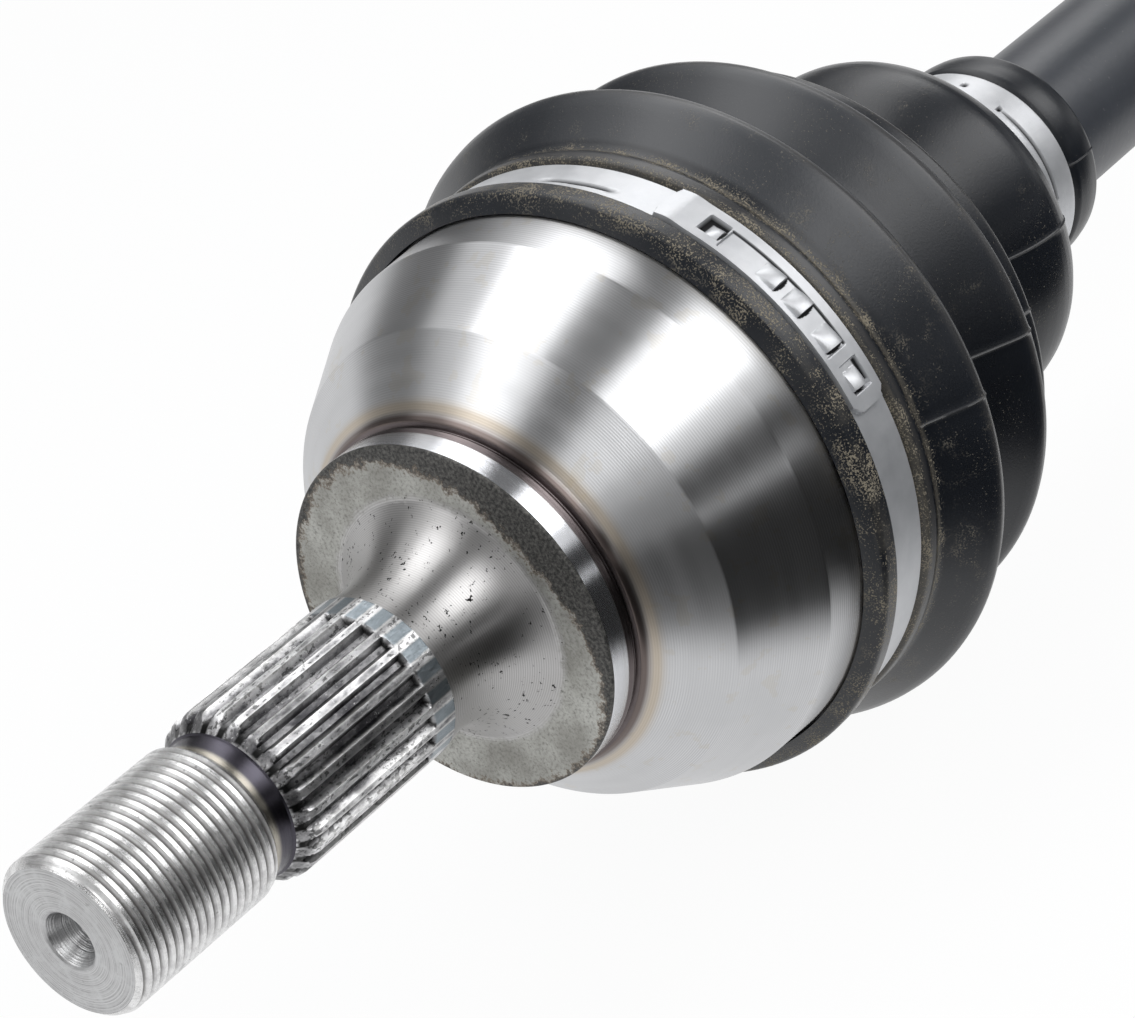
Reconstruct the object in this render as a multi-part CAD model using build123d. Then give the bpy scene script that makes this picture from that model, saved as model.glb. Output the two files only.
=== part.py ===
"""Front drive shaft of a car: fixed ball joint, bar and plunging tripod joint.

X runs along the shaft from the wheel to the gearbox, +Z is up, and the origin is the
centre of the shoulder that seats against the wheel hub. All sizes are in millimetres.
"""
import os
from math import cos, pi, sin, sqrt

from build123d import *

# Clearances
RUNNING = 0.06             # turned fits that slide or turn
LOOSE = 0.3                # round faces of pieces that only pass each other
SEAT = 0.1                 # pieces pushed onto their seat
OVER = 1.0                 # cuts run past a face by this much
EDGE = 1.0                 # small chamfers

# Threaded and splined stub of the wheel end
THREAD_R = 12.0
THREAD_LENGTH = 27.9
END_CHAMFER = 1.8
CENTRE_HOLE_R = 4.3
CENTRE_HOLE_DEPTH = 8.0
NECK_R = 10.9
NECK_LENGTH = 3.6
HUB_TEETH = 25
HUB_TIP_R = 13.1
TOOTH_DEPTH = 1.1
TOOTH_FOOT = 0.36          # half width of a tooth at its foot, as a share of the pitch
TOOTH_TOP = 0.16           # half width of a tooth at its tip, as a share of the pitch
HUB_SPLINE_LENGTH = 32.0
TIP_CHAMFER = 1.2
FLARE_LENGTH = 16.3
FLARE_R = 18.6
FLARE_SAG = 2.6
SHOULDER_R = 27.6

# Outside of the ball joint's housing
JOURNAL_LENGTH = 4.2
GROOVE_DEPTH = 0.9
GROOVE_WIDTH = 2.0
BELL_NECK_STEP = 0.8       # neck of the bell above the journal
CONE_EDGE_STEP = 7.3       # first edge of the bell below its rim
CONE_LENGTH = 8.9
BELL_EDGE_STEP = 0.5       # second edge of the bell below its rim
BELL_TAPER_LENGTH = 13.2
BELL_LAND_LENGTH = 10.5
BOOT_SEAT_STEP = 1.9
TRACK_WALL = 6.8           # bell left outside the balls

# Ball joint
JOINT_TO_SHOULDER = 44.2
BALL_COUNT = 6
BALL_R = 8.6
BALL_PITCH_R = 30.0
TRACK_OFFSET = 4.0
TRACK_GAP = 0.2
WINDOW_GAP = 0.35
FIRST_BALL_DEG = 30.0
CAGE_RISE = 3.5            # outside of the cage above the balls' middles
CAGE_WALL = 4.8
CAGE_HALF_WIDTH = 13.5
WINDOW_SHIFT = 1.6
WINDOW_CORNER_R = 4.0
RACE_HALF_WIDTH = 12.5
CAVITY_BOTTOM_R = 18.9
MOUTH_REACH = 13.0
MOUTH_LAND = 9.0
TRACK_REACH = 22.0

# Bar
BAR_LENGTH = 400.0
BAR_R = 13.7
BAR_NECK_R = 12.0
BAR_TEETH = 24
BAR_TIP_R = 12.2
BAR_NECK_LENGTH = 60.0
BAR_TAPER_LENGTH = 22.0
BAR_SEAT_DEPTH = 0.4
BAR_END_LENGTH = 5.0
BAR_STOP_R = 13.3
BAR_STOP_LENGTH = 3.0
RING_SECTION = 1.4
RING_GROOVE_DEPTH = 1.5
RING_HEIGHT = 3.0
RING_GAP = 5.0

# Tripod joint
TRUNNION_COUNT = 3
TRUNNION_R = 7.5
ROLLER_PITCH_R = 22.0
ROLLER_R = 14.5
ROLLER_WIDTH = 11.0
NEEDLE_R = 1.25
NEEDLE_COUNT = 20
NEEDLE_LENGTH = 9.6
SPIDER_HUB_R = 16.0
SPIDER_WIDTH = 20.0
WASHER_THICKNESS = 1.0
WASHER_R = 11.3
CLIP_THICKNESS = 1.0
CLIP_R = 9.0
CLIP_GROOVE_DEPTH = 0.7
TRUNNION_END = 1.2
ORBIT_GAP = 0.5

# Housing of the tripod joint
TULIP_WALL = 4.5           # housing left outside the roller tracks
TULIP_SEAT_STEP = 1.5
TULIP_SEAT_LENGTH = 16.0
TULIP_CORE_R = 23.0
TULIP_MOUTH_R = 31.0
TULIP_FLARE_LENGTH = 18.0
TRACK_HALF_LENGTH = 37.0
TULIP_MOUTH = 38.0
TULIP_BACK_WALL = 11.0
FLUTE_R = 27.0
FLUTE_DEPTH = 4.0
FLUTE_MARGIN = 6.0
TULIP_NECK_R = 20.0
TULIP_NECK_LENGTH = 4.0
GEARBOX_JOURNAL_R = 17.5
GEARBOX_JOURNAL_LENGTH = 16.0
GEARBOX_SHANK_R = 13.0
GEARBOX_SHANK_LENGTH = 3.0
GEARBOX_TEETH = 27
GEARBOX_TIP_R = 13.8
GEARBOX_SPLINE_LENGTH = 34.0
GEARBOX_END_LENGTH = 5.0
GEARBOX_RING_HEIGHT = 2.4

# Boots; a fold is (distance from the lip, share of the way from the small collar's radius
# to the large collar's, rounding)
BOOT_WALL = 3.0
FOLD_DROP = 3.6
LIP_RISE = 3.2
LIP_WIDTH = 5.0
LIP_SLOPE = 0.3            # share of the lip's width that slopes
COLLAR_RISE = 1.0          # floor of the clamp groove above the bell
SHOULDER_RISE = 1.5
SHOULDER_WIDTH = 4.2
LAP_OVER_BELL = 3.2
OUTER_FOLDS = (
    (26.4, 1.271, 3.0), (36.8, 0.795, 3.0), (47.2, 1.104, 2.5), (52.2, 0.903, 1.5),
    (55.6, 0.917, 1.2), (68.0, 0.222, 4.0), (79.0, 0.451, 3.0), (88.0, 0.514, 6.0))
OUTER_COLLAR_AT = 101.0
INNER_LIP_RISE = 4.0
INNER_LIP_WIDTH = 3.0
INNER_COLLAR_RISE = 2.4
INNER_FOLDS = (
    (19.5, 0.823, 1.5), (27.0, 1.048, 2.0), (34.0, 0.560, 2.0), (41.5, 0.847, 2.0),
    (48.0, 0.371, 2.0), (55.0, 0.629, 2.0), (61.0, 0.177, 2.0), (67.5, 0.395, 2.0))
INNER_COLLAR_AT = 74.0
SMALL_COLLAR_RISE = 3.9    # floor of the small clamp groove above the bar
SMALL_RIM_STEP = 1.5
SMALL_RIM_WIDTH = 10.5

# Clamps; angles run from +Y towards +Z
CLAMP_WIDTH = 8.0
CLAMP_WALL = 0.8
LATCH_START_DEG = 118.6
LATCH_SPAN_DEG = 50.0
LATCH_WALL = 0.9
LATCH_WIDTH = 6.8
LATCH_WINDOWS_DEG = (8.5, 22.5, 28.0, 35.0, 42.5)
LATCH_WINDOW_DEG = 3.4
LATCH_WINDOW_WIDTH = 3.6
HOOK_DEG = 1.4
LAP_WALL = 0.6
LAP_START_DEG = 60.0
LAP_SPAN_DEG = 150.0

# Radii that follow from those above
bell_r = BALL_PITCH_R + BALL_R + TRACK_WALL
boot_seat_r = bell_r - BOOT_SEAT_STEP
cage_r = BALL_PITCH_R + CAGE_RISE
track_r = sqrt(BALL_PITCH_R**2 + TRACK_OFFSET**2)
bar_seat_r = BAR_R - BAR_SEAT_DEPTH
ring_groove_r = BAR_TIP_R - RING_GROOVE_DEPTH
needle_ring_r = TRUNNION_R + RUNNING + NEEDLE_R
roller_bore_r = needle_ring_r + NEEDLE_R + RUNNING
tulip_r = ROLLER_PITCH_R + ROLLER_R + ORBIT_GAP + TULIP_WALL
tulip_seat_r = tulip_r - TULIP_SEAT_STEP
gearbox_root_r = GEARBOX_TIP_R - TOOTH_DEPTH
gearbox_groove_r = gearbox_root_r - RING_GROOVE_DEPTH
outer_collar_r = bell_r + COLLAR_RISE
inner_collar_r = tulip_seat_r + INNER_COLLAR_RISE
small_collar_r = BAR_R + SMALL_COLLAR_RISE
small_rim_r = small_collar_r + SMALL_RIM_STEP

# Where the main pieces lie
thread_start = -(FLARE_LENGTH + HUB_SPLINE_LENGTH + NECK_LENGTH + THREAD_LENGTH)
neck_start = thread_start + THREAD_LENGTH
hub_spline_start = neck_start + NECK_LENGTH
flare_start = -FLARE_LENGTH
bell_neck_x = JOURNAL_LENGTH + GROOVE_WIDTH
cone_edge_x = bell_neck_x + CONE_LENGTH
bell_edge_x = cone_edge_x + BELL_TAPER_LENGTH
bell_seat_x = bell_edge_x + BELL_LAND_LENGTH
ball_x = JOINT_TO_SHOULDER
bell_mouth_x = ball_x + MOUTH_REACH
race_ring_x = ball_x - RACE_HALF_WIDTH - SEAT - RING_SECTION
spider_x = ball_x + BAR_LENGTH
spider_ring_x = spider_x + SPIDER_WIDTH / 2 + SEAT
tulip_mouth_x = spider_x - TULIP_MOUTH
tulip_seat_end = tulip_mouth_x + TULIP_SEAT_LENGTH
track_end = spider_x + TRACK_HALF_LENGTH
tulip_back_x = track_end + TULIP_BACK_WALL
gearbox_journal_x = tulip_back_x + TULIP_NECK_LENGTH
gearbox_shank_x = gearbox_journal_x + GEARBOX_JOURNAL_LENGTH
gearbox_spline_x = gearbox_shank_x + GEARBOX_SHANK_LENGTH
gearbox_spline_end = gearbox_spline_x + GEARBOX_SPLINE_LENGTH
small_collar_length = CLAMP_WIDTH + 2 * LOOSE + SMALL_RIM_WIDTH
outer_lip_x = bell_seat_x - LAP_OVER_BELL
outer_small_x = outer_lip_x + OUTER_COLLAR_AT
inner_lip_x = tulip_seat_end - LOOSE
inner_small_x = inner_lip_x - INNER_COLLAR_AT


def turned(points):
    """Solid turned about the shaft's axis from an outline of (x, radius) points."""
    return revolve(make_face(Polyline(*points, close=True)), axis=Axis.X)


def tube(start, end, inner, outer):
    """Plain ring along the shaft."""
    return turned([(start, inner), (end, inner), (end, outer), (start, outer)])


def around(shape, angle):
    """The shape turned about the shaft's axis, from +Y towards +Z."""
    return Rot(angle, 0, 0) * shape


def splined(start, end, tip_r, teeth, chamfer):
    """Straight splines: the tooth outline extruded, its tips chamfered at both ends."""
    pitch = 2 * pi / teeth
    root_r = tip_r - TOOTH_DEPTH
    points = []
    for tooth in range(teeth):
        for share, r in ((-TOOTH_FOOT, root_r), (-TOOTH_TOP, tip_r),
                         (TOOTH_TOP, tip_r), (TOOTH_FOOT, root_r)):
            turn = (tooth + share) * pitch
            points.append((r * cos(turn), r * sin(turn)))
    section = make_face(Polyline(*points, close=True))
    teeth_body = extrude(Plane.YZ.offset(start) * section, amount=end - start)
    envelope = turned([(start, 0), (start, tip_r - chamfer), (start + chamfer, tip_r + SEAT),
                       (end - chamfer, tip_r + SEAT), (end, tip_r - chamfer), (end, 0)])
    return teeth_body & envelope


def spline_bore(start, end, tip_r, teeth):
    """The matching bore: the same teeth, larger by the seat clearance."""
    return splined(start - OVER, end + OVER, tip_r + SEAT, teeth, 0)


def snap_ring(x, groove_r, height):
    """Split ring that sits in a groove of a shaft, its face at x."""
    ring = tube(x, x + RING_SECTION, groove_r + SEAT, groove_r + height)
    gap = Pos(x, 0, groove_r + height) * Box(3 * RING_SECTION, RING_GAP, 2 * height)
    return ring - gap


def track_tool(centre_x, reach_from, reach_to):
    """Ball tracks: three tori about the axis point, each one cutting two opposite tracks."""
    tori = []
    for step in range(BALL_COUNT // 2):
        torus = around(Torus(track_r, BALL_R + TRACK_GAP), FIRST_BALL_DEG + step * 360 / BALL_COUNT)
        tori.append(Pos(centre_x, 0, 0) * torus)
    limit = tube(reach_from, reach_to, 0, 2 * track_r)
    return [torus & limit for torus in tori]


def stub():
    """Thread, neck, hub splines and the flare up to the hub shoulder."""
    root_r = HUB_TIP_R - TOOTH_DEPTH
    core = turned([
        (thread_start, 0), (thread_start, THREAD_R - END_CHAMFER),
        (thread_start + END_CHAMFER, THREAD_R), (neck_start, THREAD_R), (neck_start, NECK_R),
        (hub_spline_start, NECK_R), (hub_spline_start + TOOTH_DEPTH, root_r),
        (flare_start - TIP_CHAMFER, root_r), (flare_start, HUB_TIP_R), (flare_start, 0)])
    teeth = splined(hub_spline_start, flare_start, HUB_TIP_R, HUB_TEETH, TIP_CHAMFER)
    hole = Cone(CENTRE_HOLE_R, 0, CENTRE_HOLE_DEPTH, align=(Align.CENTER, Align.CENTER, Align.MIN))
    return core + teeth - Pos(thread_start, 0, 0) * Rot(0, 90, 0) * hole


def flare():
    """Hollow-sided flare that carries the stub into the shoulder."""
    mid = ((flare_start + FLARE_SAG) / 2, (HUB_TIP_R + FLARE_R) / 2 - FLARE_SAG)
    outline = [ThreePointArc((flare_start, HUB_TIP_R), mid, (0, FLARE_R)),
               Line((0, FLARE_R), (0, 0)), Line((0, 0), (flare_start, 0)),
               Line((flare_start, 0), (flare_start, HUB_TIP_R))]
    return revolve(make_face(outline), axis=Axis.X)


def bell_blank():
    """Turned outside of the housing, from the shoulder to the open mouth."""
    groove_r = SHOULDER_R - GROOVE_DEPTH
    neck_r = SHOULDER_R + BELL_NECK_STEP
    return turned([
        (0, 0), (0, SHOULDER_R), (JOURNAL_LENGTH, SHOULDER_R), (JOURNAL_LENGTH, groove_r),
        (bell_neck_x, groove_r), (bell_neck_x, neck_r), (cone_edge_x, bell_r - CONE_EDGE_STEP),
        (bell_edge_x, bell_r - BELL_EDGE_STEP), (bell_seat_x, bell_r), (bell_seat_x, boot_seat_r),
        (bell_mouth_x - EDGE, boot_seat_r), (bell_mouth_x, boot_seat_r - EDGE), (bell_mouth_x, 0)])


def bell_cavity():
    """Ball-shaped hollow with a flat bottom and a chamfered mouth."""
    inner_r = cage_r + LOOSE
    bottom = (ball_x - sqrt(inner_r**2 - CAVITY_BOTTOM_R**2), CAVITY_BOTTOM_R)
    land = (ball_x + MOUTH_LAND, sqrt(inner_r**2 - MOUTH_LAND**2))
    mouth = (bell_mouth_x + OVER, land[1] + MOUTH_REACH - MOUTH_LAND + OVER)
    outline = [ThreePointArc(bottom, (ball_x, inner_r), land), Line(land, mouth),
               Line(mouth, (mouth[0], 0)), Line((mouth[0], 0), (bottom[0], 0)),
               Line((bottom[0], 0), bottom)]
    return revolve(make_face(outline), axis=Axis.X)


def outer_housing():
    """Ball joint housing, one forging with its stub."""
    body = bell_blank() - bell_cavity()
    for tool in track_tool(ball_x + TRACK_OFFSET, ball_x - TRACK_REACH, bell_mouth_x + OVER):
        body -= tool
    return body + flare() + stub()


def inner_race():
    """Ball-shaped inner race with six tracks, splined onto the bar."""
    race_r = cage_r - CAGE_WALL - LOOSE
    start = ball_x - RACE_HALF_WIDTH
    end = ball_x + RACE_HALF_WIDTH
    race = Pos(ball_x, 0, 0) * Sphere(race_r) & tube(start, end, 0, 2 * race_r)
    for tool in track_tool(ball_x - TRACK_OFFSET, start - OVER, end + OVER):
        race -= tool
    return race - spline_bore(start, end, BAR_TIP_R, BAR_TEETH)


def ball_angles():
    """Angle of each ball about the axis, from +Y towards +Z."""
    return [FIRST_BALL_DEG + step * 360 / BALL_COUNT for step in range(BALL_COUNT)]


def cage():
    """Ball-shaped ring with a window for each ball."""
    shell = Pos(ball_x, 0, 0) * (Sphere(cage_r) - Sphere(cage_r - CAGE_WALL))
    shell &= tube(ball_x - CAGE_HALF_WIDTH, ball_x + CAGE_HALF_WIDTH, 0, 2 * cage_r)
    width = 2 * (BALL_R + WINDOW_GAP)
    window = extrude(RectangleRounded(width, width + 2 * WINDOW_SHIFT, WINDOW_CORNER_R), cage_r + OVER)
    for angle in ball_angles():
        shell -= Pos(ball_x, 0, 0) * around(window, angle - 90)
    return shell


def ball(angle):
    """One ball of the joint."""
    return Pos(ball_x, 0, 0) * around(Pos(0, BALL_PITCH_R, 0) * Sphere(BALL_R), angle)


def axle_bar():
    """Solid bar: splined ends, stops for race and spider, slimmer necks, plain middle."""
    start = race_ring_x - BAR_END_LENGTH
    end = spider_ring_x + RING_SECTION + BAR_END_LENGTH
    root_r = BAR_TIP_R - TOOTH_DEPTH
    stop_a = ball_x + RACE_HALF_WIDTH + SEAT
    stop_b = spider_x - SPIDER_WIDTH / 2 - SEAT
    neck_a = stop_a + BAR_STOP_LENGTH
    neck_b = stop_b - BAR_STOP_LENGTH
    body = turned([
        (start, 0), (start, root_r - EDGE), (start + EDGE, root_r), (stop_a, root_r),
        (stop_a, BAR_STOP_R), (neck_a, BAR_STOP_R), (neck_a, BAR_NECK_R),
        (neck_a + BAR_NECK_LENGTH, BAR_NECK_R),
        (neck_a + BAR_NECK_LENGTH + BAR_TAPER_LENGTH, BAR_R),
        (neck_b - BAR_NECK_LENGTH - BAR_TAPER_LENGTH, BAR_R),
        (neck_b - BAR_NECK_LENGTH, BAR_NECK_R), (neck_b, BAR_NECK_R),
        (neck_b, BAR_STOP_R), (stop_b, BAR_STOP_R), (stop_b, root_r),
        (end - EDGE, root_r), (end, root_r - EDGE), (end, 0)])
    body += splined(start, stop_a, BAR_TIP_R, BAR_TEETH, TIP_CHAMFER)
    body += splined(stop_b, end, BAR_TIP_R, BAR_TEETH, TIP_CHAMFER)
    for x in (race_ring_x, spider_ring_x):
        body -= tube(x - SEAT, x + RING_SECTION + SEAT, ring_groove_r, BAR_R)
    for x in (outer_small_x, inner_small_x - small_collar_length):
        body -= tube(x - LOOSE, x + small_collar_length + LOOSE, bar_seat_r, BAR_R + OVER)
    return body


def trunnion_angles():
    """Angle of each trunnion about the axis; the first lies along +Y."""
    return [step * 360 / TRUNNION_COUNT for step in range(TRUNNION_COUNT)]


def upright(shape, angle):
    """A shape made along +Z at the origin, placed at the spider along one trunnion."""
    return Pos(spider_x, 0, 0) * around(shape, angle - 90)


def washer_height():
    """Distance of the roller's washer from the shaft's axis."""
    return ROLLER_PITCH_R + ROLLER_WIDTH / 2 + LOOSE


def post(radius, low, high):
    """Plain cylinder along +Z between two heights."""
    return Pos(0, 0, low) * Cylinder(radius, high - low, align=(Align.CENTER, Align.CENTER, Align.MIN))


def spider():
    """Splined hub with three trunnions, each grooved for its clip."""
    body = tube(spider_x - SPIDER_WIDTH / 2, spider_x + SPIDER_WIDTH / 2, 0, SPIDER_HUB_R)
    clip = washer_height() + WASHER_THICKNESS + SEAT
    clip_end = clip + CLIP_THICKNESS
    for angle in trunnion_angles():
        trunnion = post(TRUNNION_R, 0, clip_end + TRUNNION_END)
        groove = post(TRUNNION_R + OVER, clip - SEAT, clip_end + SEAT)
        groove -= post(TRUNNION_R - CLIP_GROOVE_DEPTH, clip - OVER, clip_end + OVER)
        body += upright(trunnion - groove, angle)
    start = spider_x - SPIDER_WIDTH / 2
    return body - spline_bore(start, start + SPIDER_WIDTH, BAR_TIP_R, BAR_TEETH)


def roller(angle):
    """Outer ring of one roller, ball-shaped outside, bored for its needles."""
    low = ROLLER_PITCH_R - ROLLER_WIDTH / 2
    high = low + ROLLER_WIDTH
    ring = Pos(0, 0, ROLLER_PITCH_R) * Sphere(ROLLER_R) & post(2 * ROLLER_R, low, high)
    return upright(ring - post(roller_bore_r, low - OVER, high + OVER), angle)


def needles(angle):
    """Full ring of needle rollers between one trunnion and its roller."""
    low = ROLLER_PITCH_R - NEEDLE_LENGTH / 2
    needle = Pos(needle_ring_r, 0, 0) * post(NEEDLE_R, low, low + NEEDLE_LENGTH)
    turns = [Rot(0, 0, step * 360 / NEEDLE_COUNT) * needle for step in range(NEEDLE_COUNT)]
    return Compound(children=[upright(turn, angle) for turn in turns])


def roller_washers():
    """Washers that keep the rollers and needles on the trunnions."""
    low = washer_height()
    high = low + WASHER_THICKNESS
    washer = post(WASHER_R, low, high) - post(TRUNNION_R + RUNNING, low - OVER, high + OVER)
    return Compound(children=[upright(washer, angle) for angle in trunnion_angles()])


def trunnion_clips():
    """Split rings that hold the washers."""
    low = washer_height() + WASHER_THICKNESS + SEAT
    high = low + CLIP_THICKNESS
    inner = TRUNNION_R - CLIP_GROOVE_DEPTH + SEAT
    clip = post(CLIP_R, low, high) - post(inner, low - OVER, high + OVER)
    clip -= Pos(CLIP_R, 0, low) * Box(2 * (CLIP_R - inner) + OVER, RING_GAP, 3 * CLIP_THICKNESS)
    return Compound(children=[upright(clip, angle) for angle in trunnion_angles()])


def tulip_blank():
    """Outside of the tripod housing: boot seat, can, back cone and gearbox journal."""
    return turned([
        (tulip_mouth_x, 0), (tulip_mouth_x, tulip_seat_r), (tulip_seat_end, tulip_seat_r),
        (tulip_seat_end, tulip_r), (track_end, tulip_r), (tulip_back_x, tulip_r - TULIP_BACK_WALL),
        (tulip_back_x, TULIP_NECK_R), (gearbox_journal_x, TULIP_NECK_R),
        (gearbox_journal_x, GEARBOX_JOURNAL_R), (gearbox_shank_x, GEARBOX_JOURNAL_R),
        (gearbox_shank_x, 0)])


def gearbox_stub():
    """Shank, splines and grooved end that go into the gearbox."""
    end = gearbox_spline_end + RING_SECTION + GEARBOX_END_LENGTH
    body = turned([
        (gearbox_shank_x, 0), (gearbox_shank_x, GEARBOX_SHANK_R),
        (gearbox_spline_x, GEARBOX_SHANK_R), (gearbox_spline_x + EDGE, gearbox_root_r),
        (end - 2 * EDGE, gearbox_root_r), (end, gearbox_root_r - 2 * EDGE), (end, 0)])
    body += splined(gearbox_spline_x, gearbox_spline_end, GEARBOX_TIP_R, GEARBOX_TEETH, TIP_CHAMFER)
    groove_x = gearbox_spline_end + SEAT
    return body - tube(groove_x, groove_x + RING_SECTION + 2 * SEAT, gearbox_groove_r, GEARBOX_TIP_R)


def tripod_track(angle):
    """Channel for one roller: half round outside, straight walls towards the middle."""
    half = ROLLER_R + ORBIT_GAP
    section = Pos(ROLLER_PITCH_R / 2, 0) * Rectangle(ROLLER_PITCH_R, 2 * half)
    section += Pos(ROLLER_PITCH_R, 0) * Circle(half)
    start = tulip_mouth_x - OVER
    channel = extrude(Plane.YZ.offset(start) * section, amount=track_end - start)
    return around(channel, angle)


def flute(angle):
    """Shallow round hollow along the outside of the can, between two roller tracks."""
    start = tulip_seat_end + FLUTE_MARGIN
    length = tulip_back_x - start + OVER
    bar = Rot(0, 90, 0) * Cylinder(FLUTE_R, length, align=(Align.CENTER, Align.CENTER, Align.MIN))
    return around(Pos(start, tulip_r + FLUTE_R - FLUTE_DEPTH, 0) * bar, angle)


def inner_housing():
    """Tripod housing with three roller tracks, one forging with its gearbox stub."""
    body = tulip_blank()
    for angle in trunnion_angles():
        body -= tripod_track(angle)
        body -= flute(angle + 180 / TRUNNION_COUNT)
    mouth = tulip_mouth_x - OVER
    body -= turned([(mouth, 0), (mouth, TULIP_MOUTH_R), (tulip_mouth_x, TULIP_MOUTH_R),
                    (tulip_mouth_x + TULIP_FLARE_LENGTH, TULIP_CORE_R),
                    (track_end, TULIP_CORE_R), (track_end, 0)])
    return body + gearbox_stub()


def fold_line(start, way, before, folds, after, drop):
    """Line along one face of a boot: straight collars, rounded folds between them."""
    middle = [before[-1], *[(t, r - drop) for t, r, rounding in folds], after[0]]
    rounds = [fold[2] for fold in folds]
    runs = [[(start + way * t, r) for t, r in run] for run in (before, middle, after)]
    return [*Polyline(*runs[0]).edges(), *FilletPolyline(*runs[1], radius=rounds).edges(),
            *Polyline(*runs[2]).edges()]


def bellows(start, way, collar_r, folds, lines):
    """Rubber boot turned from its outer line; the wall follows the folds inside."""
    collar, rim, bore_start, bore_end = lines
    reach = collar_r - small_collar_r
    crests = [(t, small_collar_r + share * reach, rounding) for t, share, rounding in folds]
    outside = fold_line(start, way, collar, crests, rim, 0)
    inside = fold_line(start, way, bore_start, crests, bore_end, FOLD_DROP)
    return revolve(make_face([*outside, *inside]), axis=Axis.X)


def lip_line(bore_r, width, lip_r, collar_r):
    """Outer line of a boot's large collar: lip, clamp groove and the shoulder behind it."""
    groove_end = width + CLAMP_WIDTH + 2 * LOOSE
    return [(0, bore_r), (LIP_SLOPE * width, lip_r), (width - LOOSE, lip_r), (width, collar_r),
            (groove_end, collar_r), (groove_end + LOOSE, collar_r + SHOULDER_RISE),
            (groove_end + SHOULDER_WIDTH, collar_r + SHOULDER_RISE)]


def rim_line(start):
    """Outer line of a boot's small collar: clamp groove and end rim."""
    groove_end = start + CLAMP_WIDTH + 2 * LOOSE
    rim_end = start + small_collar_length
    return [(start, small_collar_r), (groove_end, small_collar_r), (groove_end + LOOSE, small_rim_r),
            (rim_end, small_rim_r), (rim_end, bar_seat_r + LOOSE)]


def bar_line(start):
    """Inner line of a boot's small collar, down in its seat on the bar."""
    return [(start - BOOT_WALL, BAR_R + LOOSE), (start, BAR_R + LOOSE),
            (start, bar_seat_r + LOOSE), (start + small_collar_length, bar_seat_r + LOOSE)]


def outer_boot():
    """Boot of the ball joint; its lip laps over the end of the machined bell."""
    bore_r = bell_r + LOOSE
    seat_r = boot_seat_r + LOOSE
    seat = bell_seat_x + LOOSE - outer_lip_x
    mouth = bell_mouth_x + 3 * LOOSE - outer_lip_x
    lines = (lip_line(bore_r, LIP_WIDTH, bell_r + LIP_RISE, outer_collar_r), rim_line(OUTER_COLLAR_AT),
             [(0, bore_r), (seat, bore_r), (seat, seat_r), (mouth, seat_r)], bar_line(OUTER_COLLAR_AT))
    return bellows(outer_lip_x, 1, outer_collar_r, OUTER_FOLDS, lines)


def inner_boot():
    """Boot of the tripod joint, from the can's seat back to the bar."""
    bore_r = tulip_seat_r + LOOSE
    lip_r = tulip_seat_r + INNER_LIP_RISE
    mouth = inner_lip_x - tulip_mouth_x + 3 * LOOSE
    lines = (lip_line(bore_r, INNER_LIP_WIDTH, lip_r, inner_collar_r), rim_line(INNER_COLLAR_AT),
             [(0, bore_r), (mouth, bore_r)], bar_line(INNER_COLLAR_AT))
    return bellows(inner_lip_x, -1, inner_collar_r, INNER_FOLDS, lines)


def sector(x, width, inner, outer, start_deg, span_deg):
    """Part of a ring between two angles."""
    face = make_face(Polyline((x, inner), (x + width, inner), (x + width, outer), (x, outer), close=True))
    return around(revolve(face, axis=Axis.X, revolution_arc=span_deg), start_deg)


def band(x, inner_r):
    """Plain clamp band whose free end laps over it for part of the way round."""
    ring = tube(x, x + CLAMP_WIDTH, inner_r, inner_r + CLAMP_WALL)
    lap = sector(x, CLAMP_WIDTH, inner_r, inner_r + CLAMP_WALL + LAP_WALL, LAP_START_DEG, LAP_SPAN_DEG)
    return ring + lap


def latch(x, inner_r):
    """Raised plate of a hooked clamp, with windows and a hook standing in each."""
    low = inner_r + CLAMP_WALL / 2
    top = inner_r + CLAMP_WALL + LATCH_WALL
    middle = x + CLAMP_WIDTH / 2
    plate = sector(middle - LATCH_WIDTH / 2, LATCH_WIDTH, low, top, LATCH_START_DEG, LATCH_SPAN_DEG)
    edge = middle - LATCH_WINDOW_WIDTH / 2
    for offset in LATCH_WINDOWS_DEG:
        start = LATCH_START_DEG + offset
        plate -= sector(edge, LATCH_WINDOW_WIDTH, low - OVER, top + OVER, start, LATCH_WINDOW_DEG)
        plate += sector(edge, LATCH_WINDOW_WIDTH, low, top, start, HOOK_DEG)
    return plate


def large_clamp(x, inner_r):
    """Band and latch of a large hooked clamp."""
    return tube(x, x + CLAMP_WIDTH, inner_r, inner_r + CLAMP_WALL) + latch(x, inner_r)


def write(name, shape):
    """Store one piece under its own name."""
    export_step(shape, f"parts/{name}.step")


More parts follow.
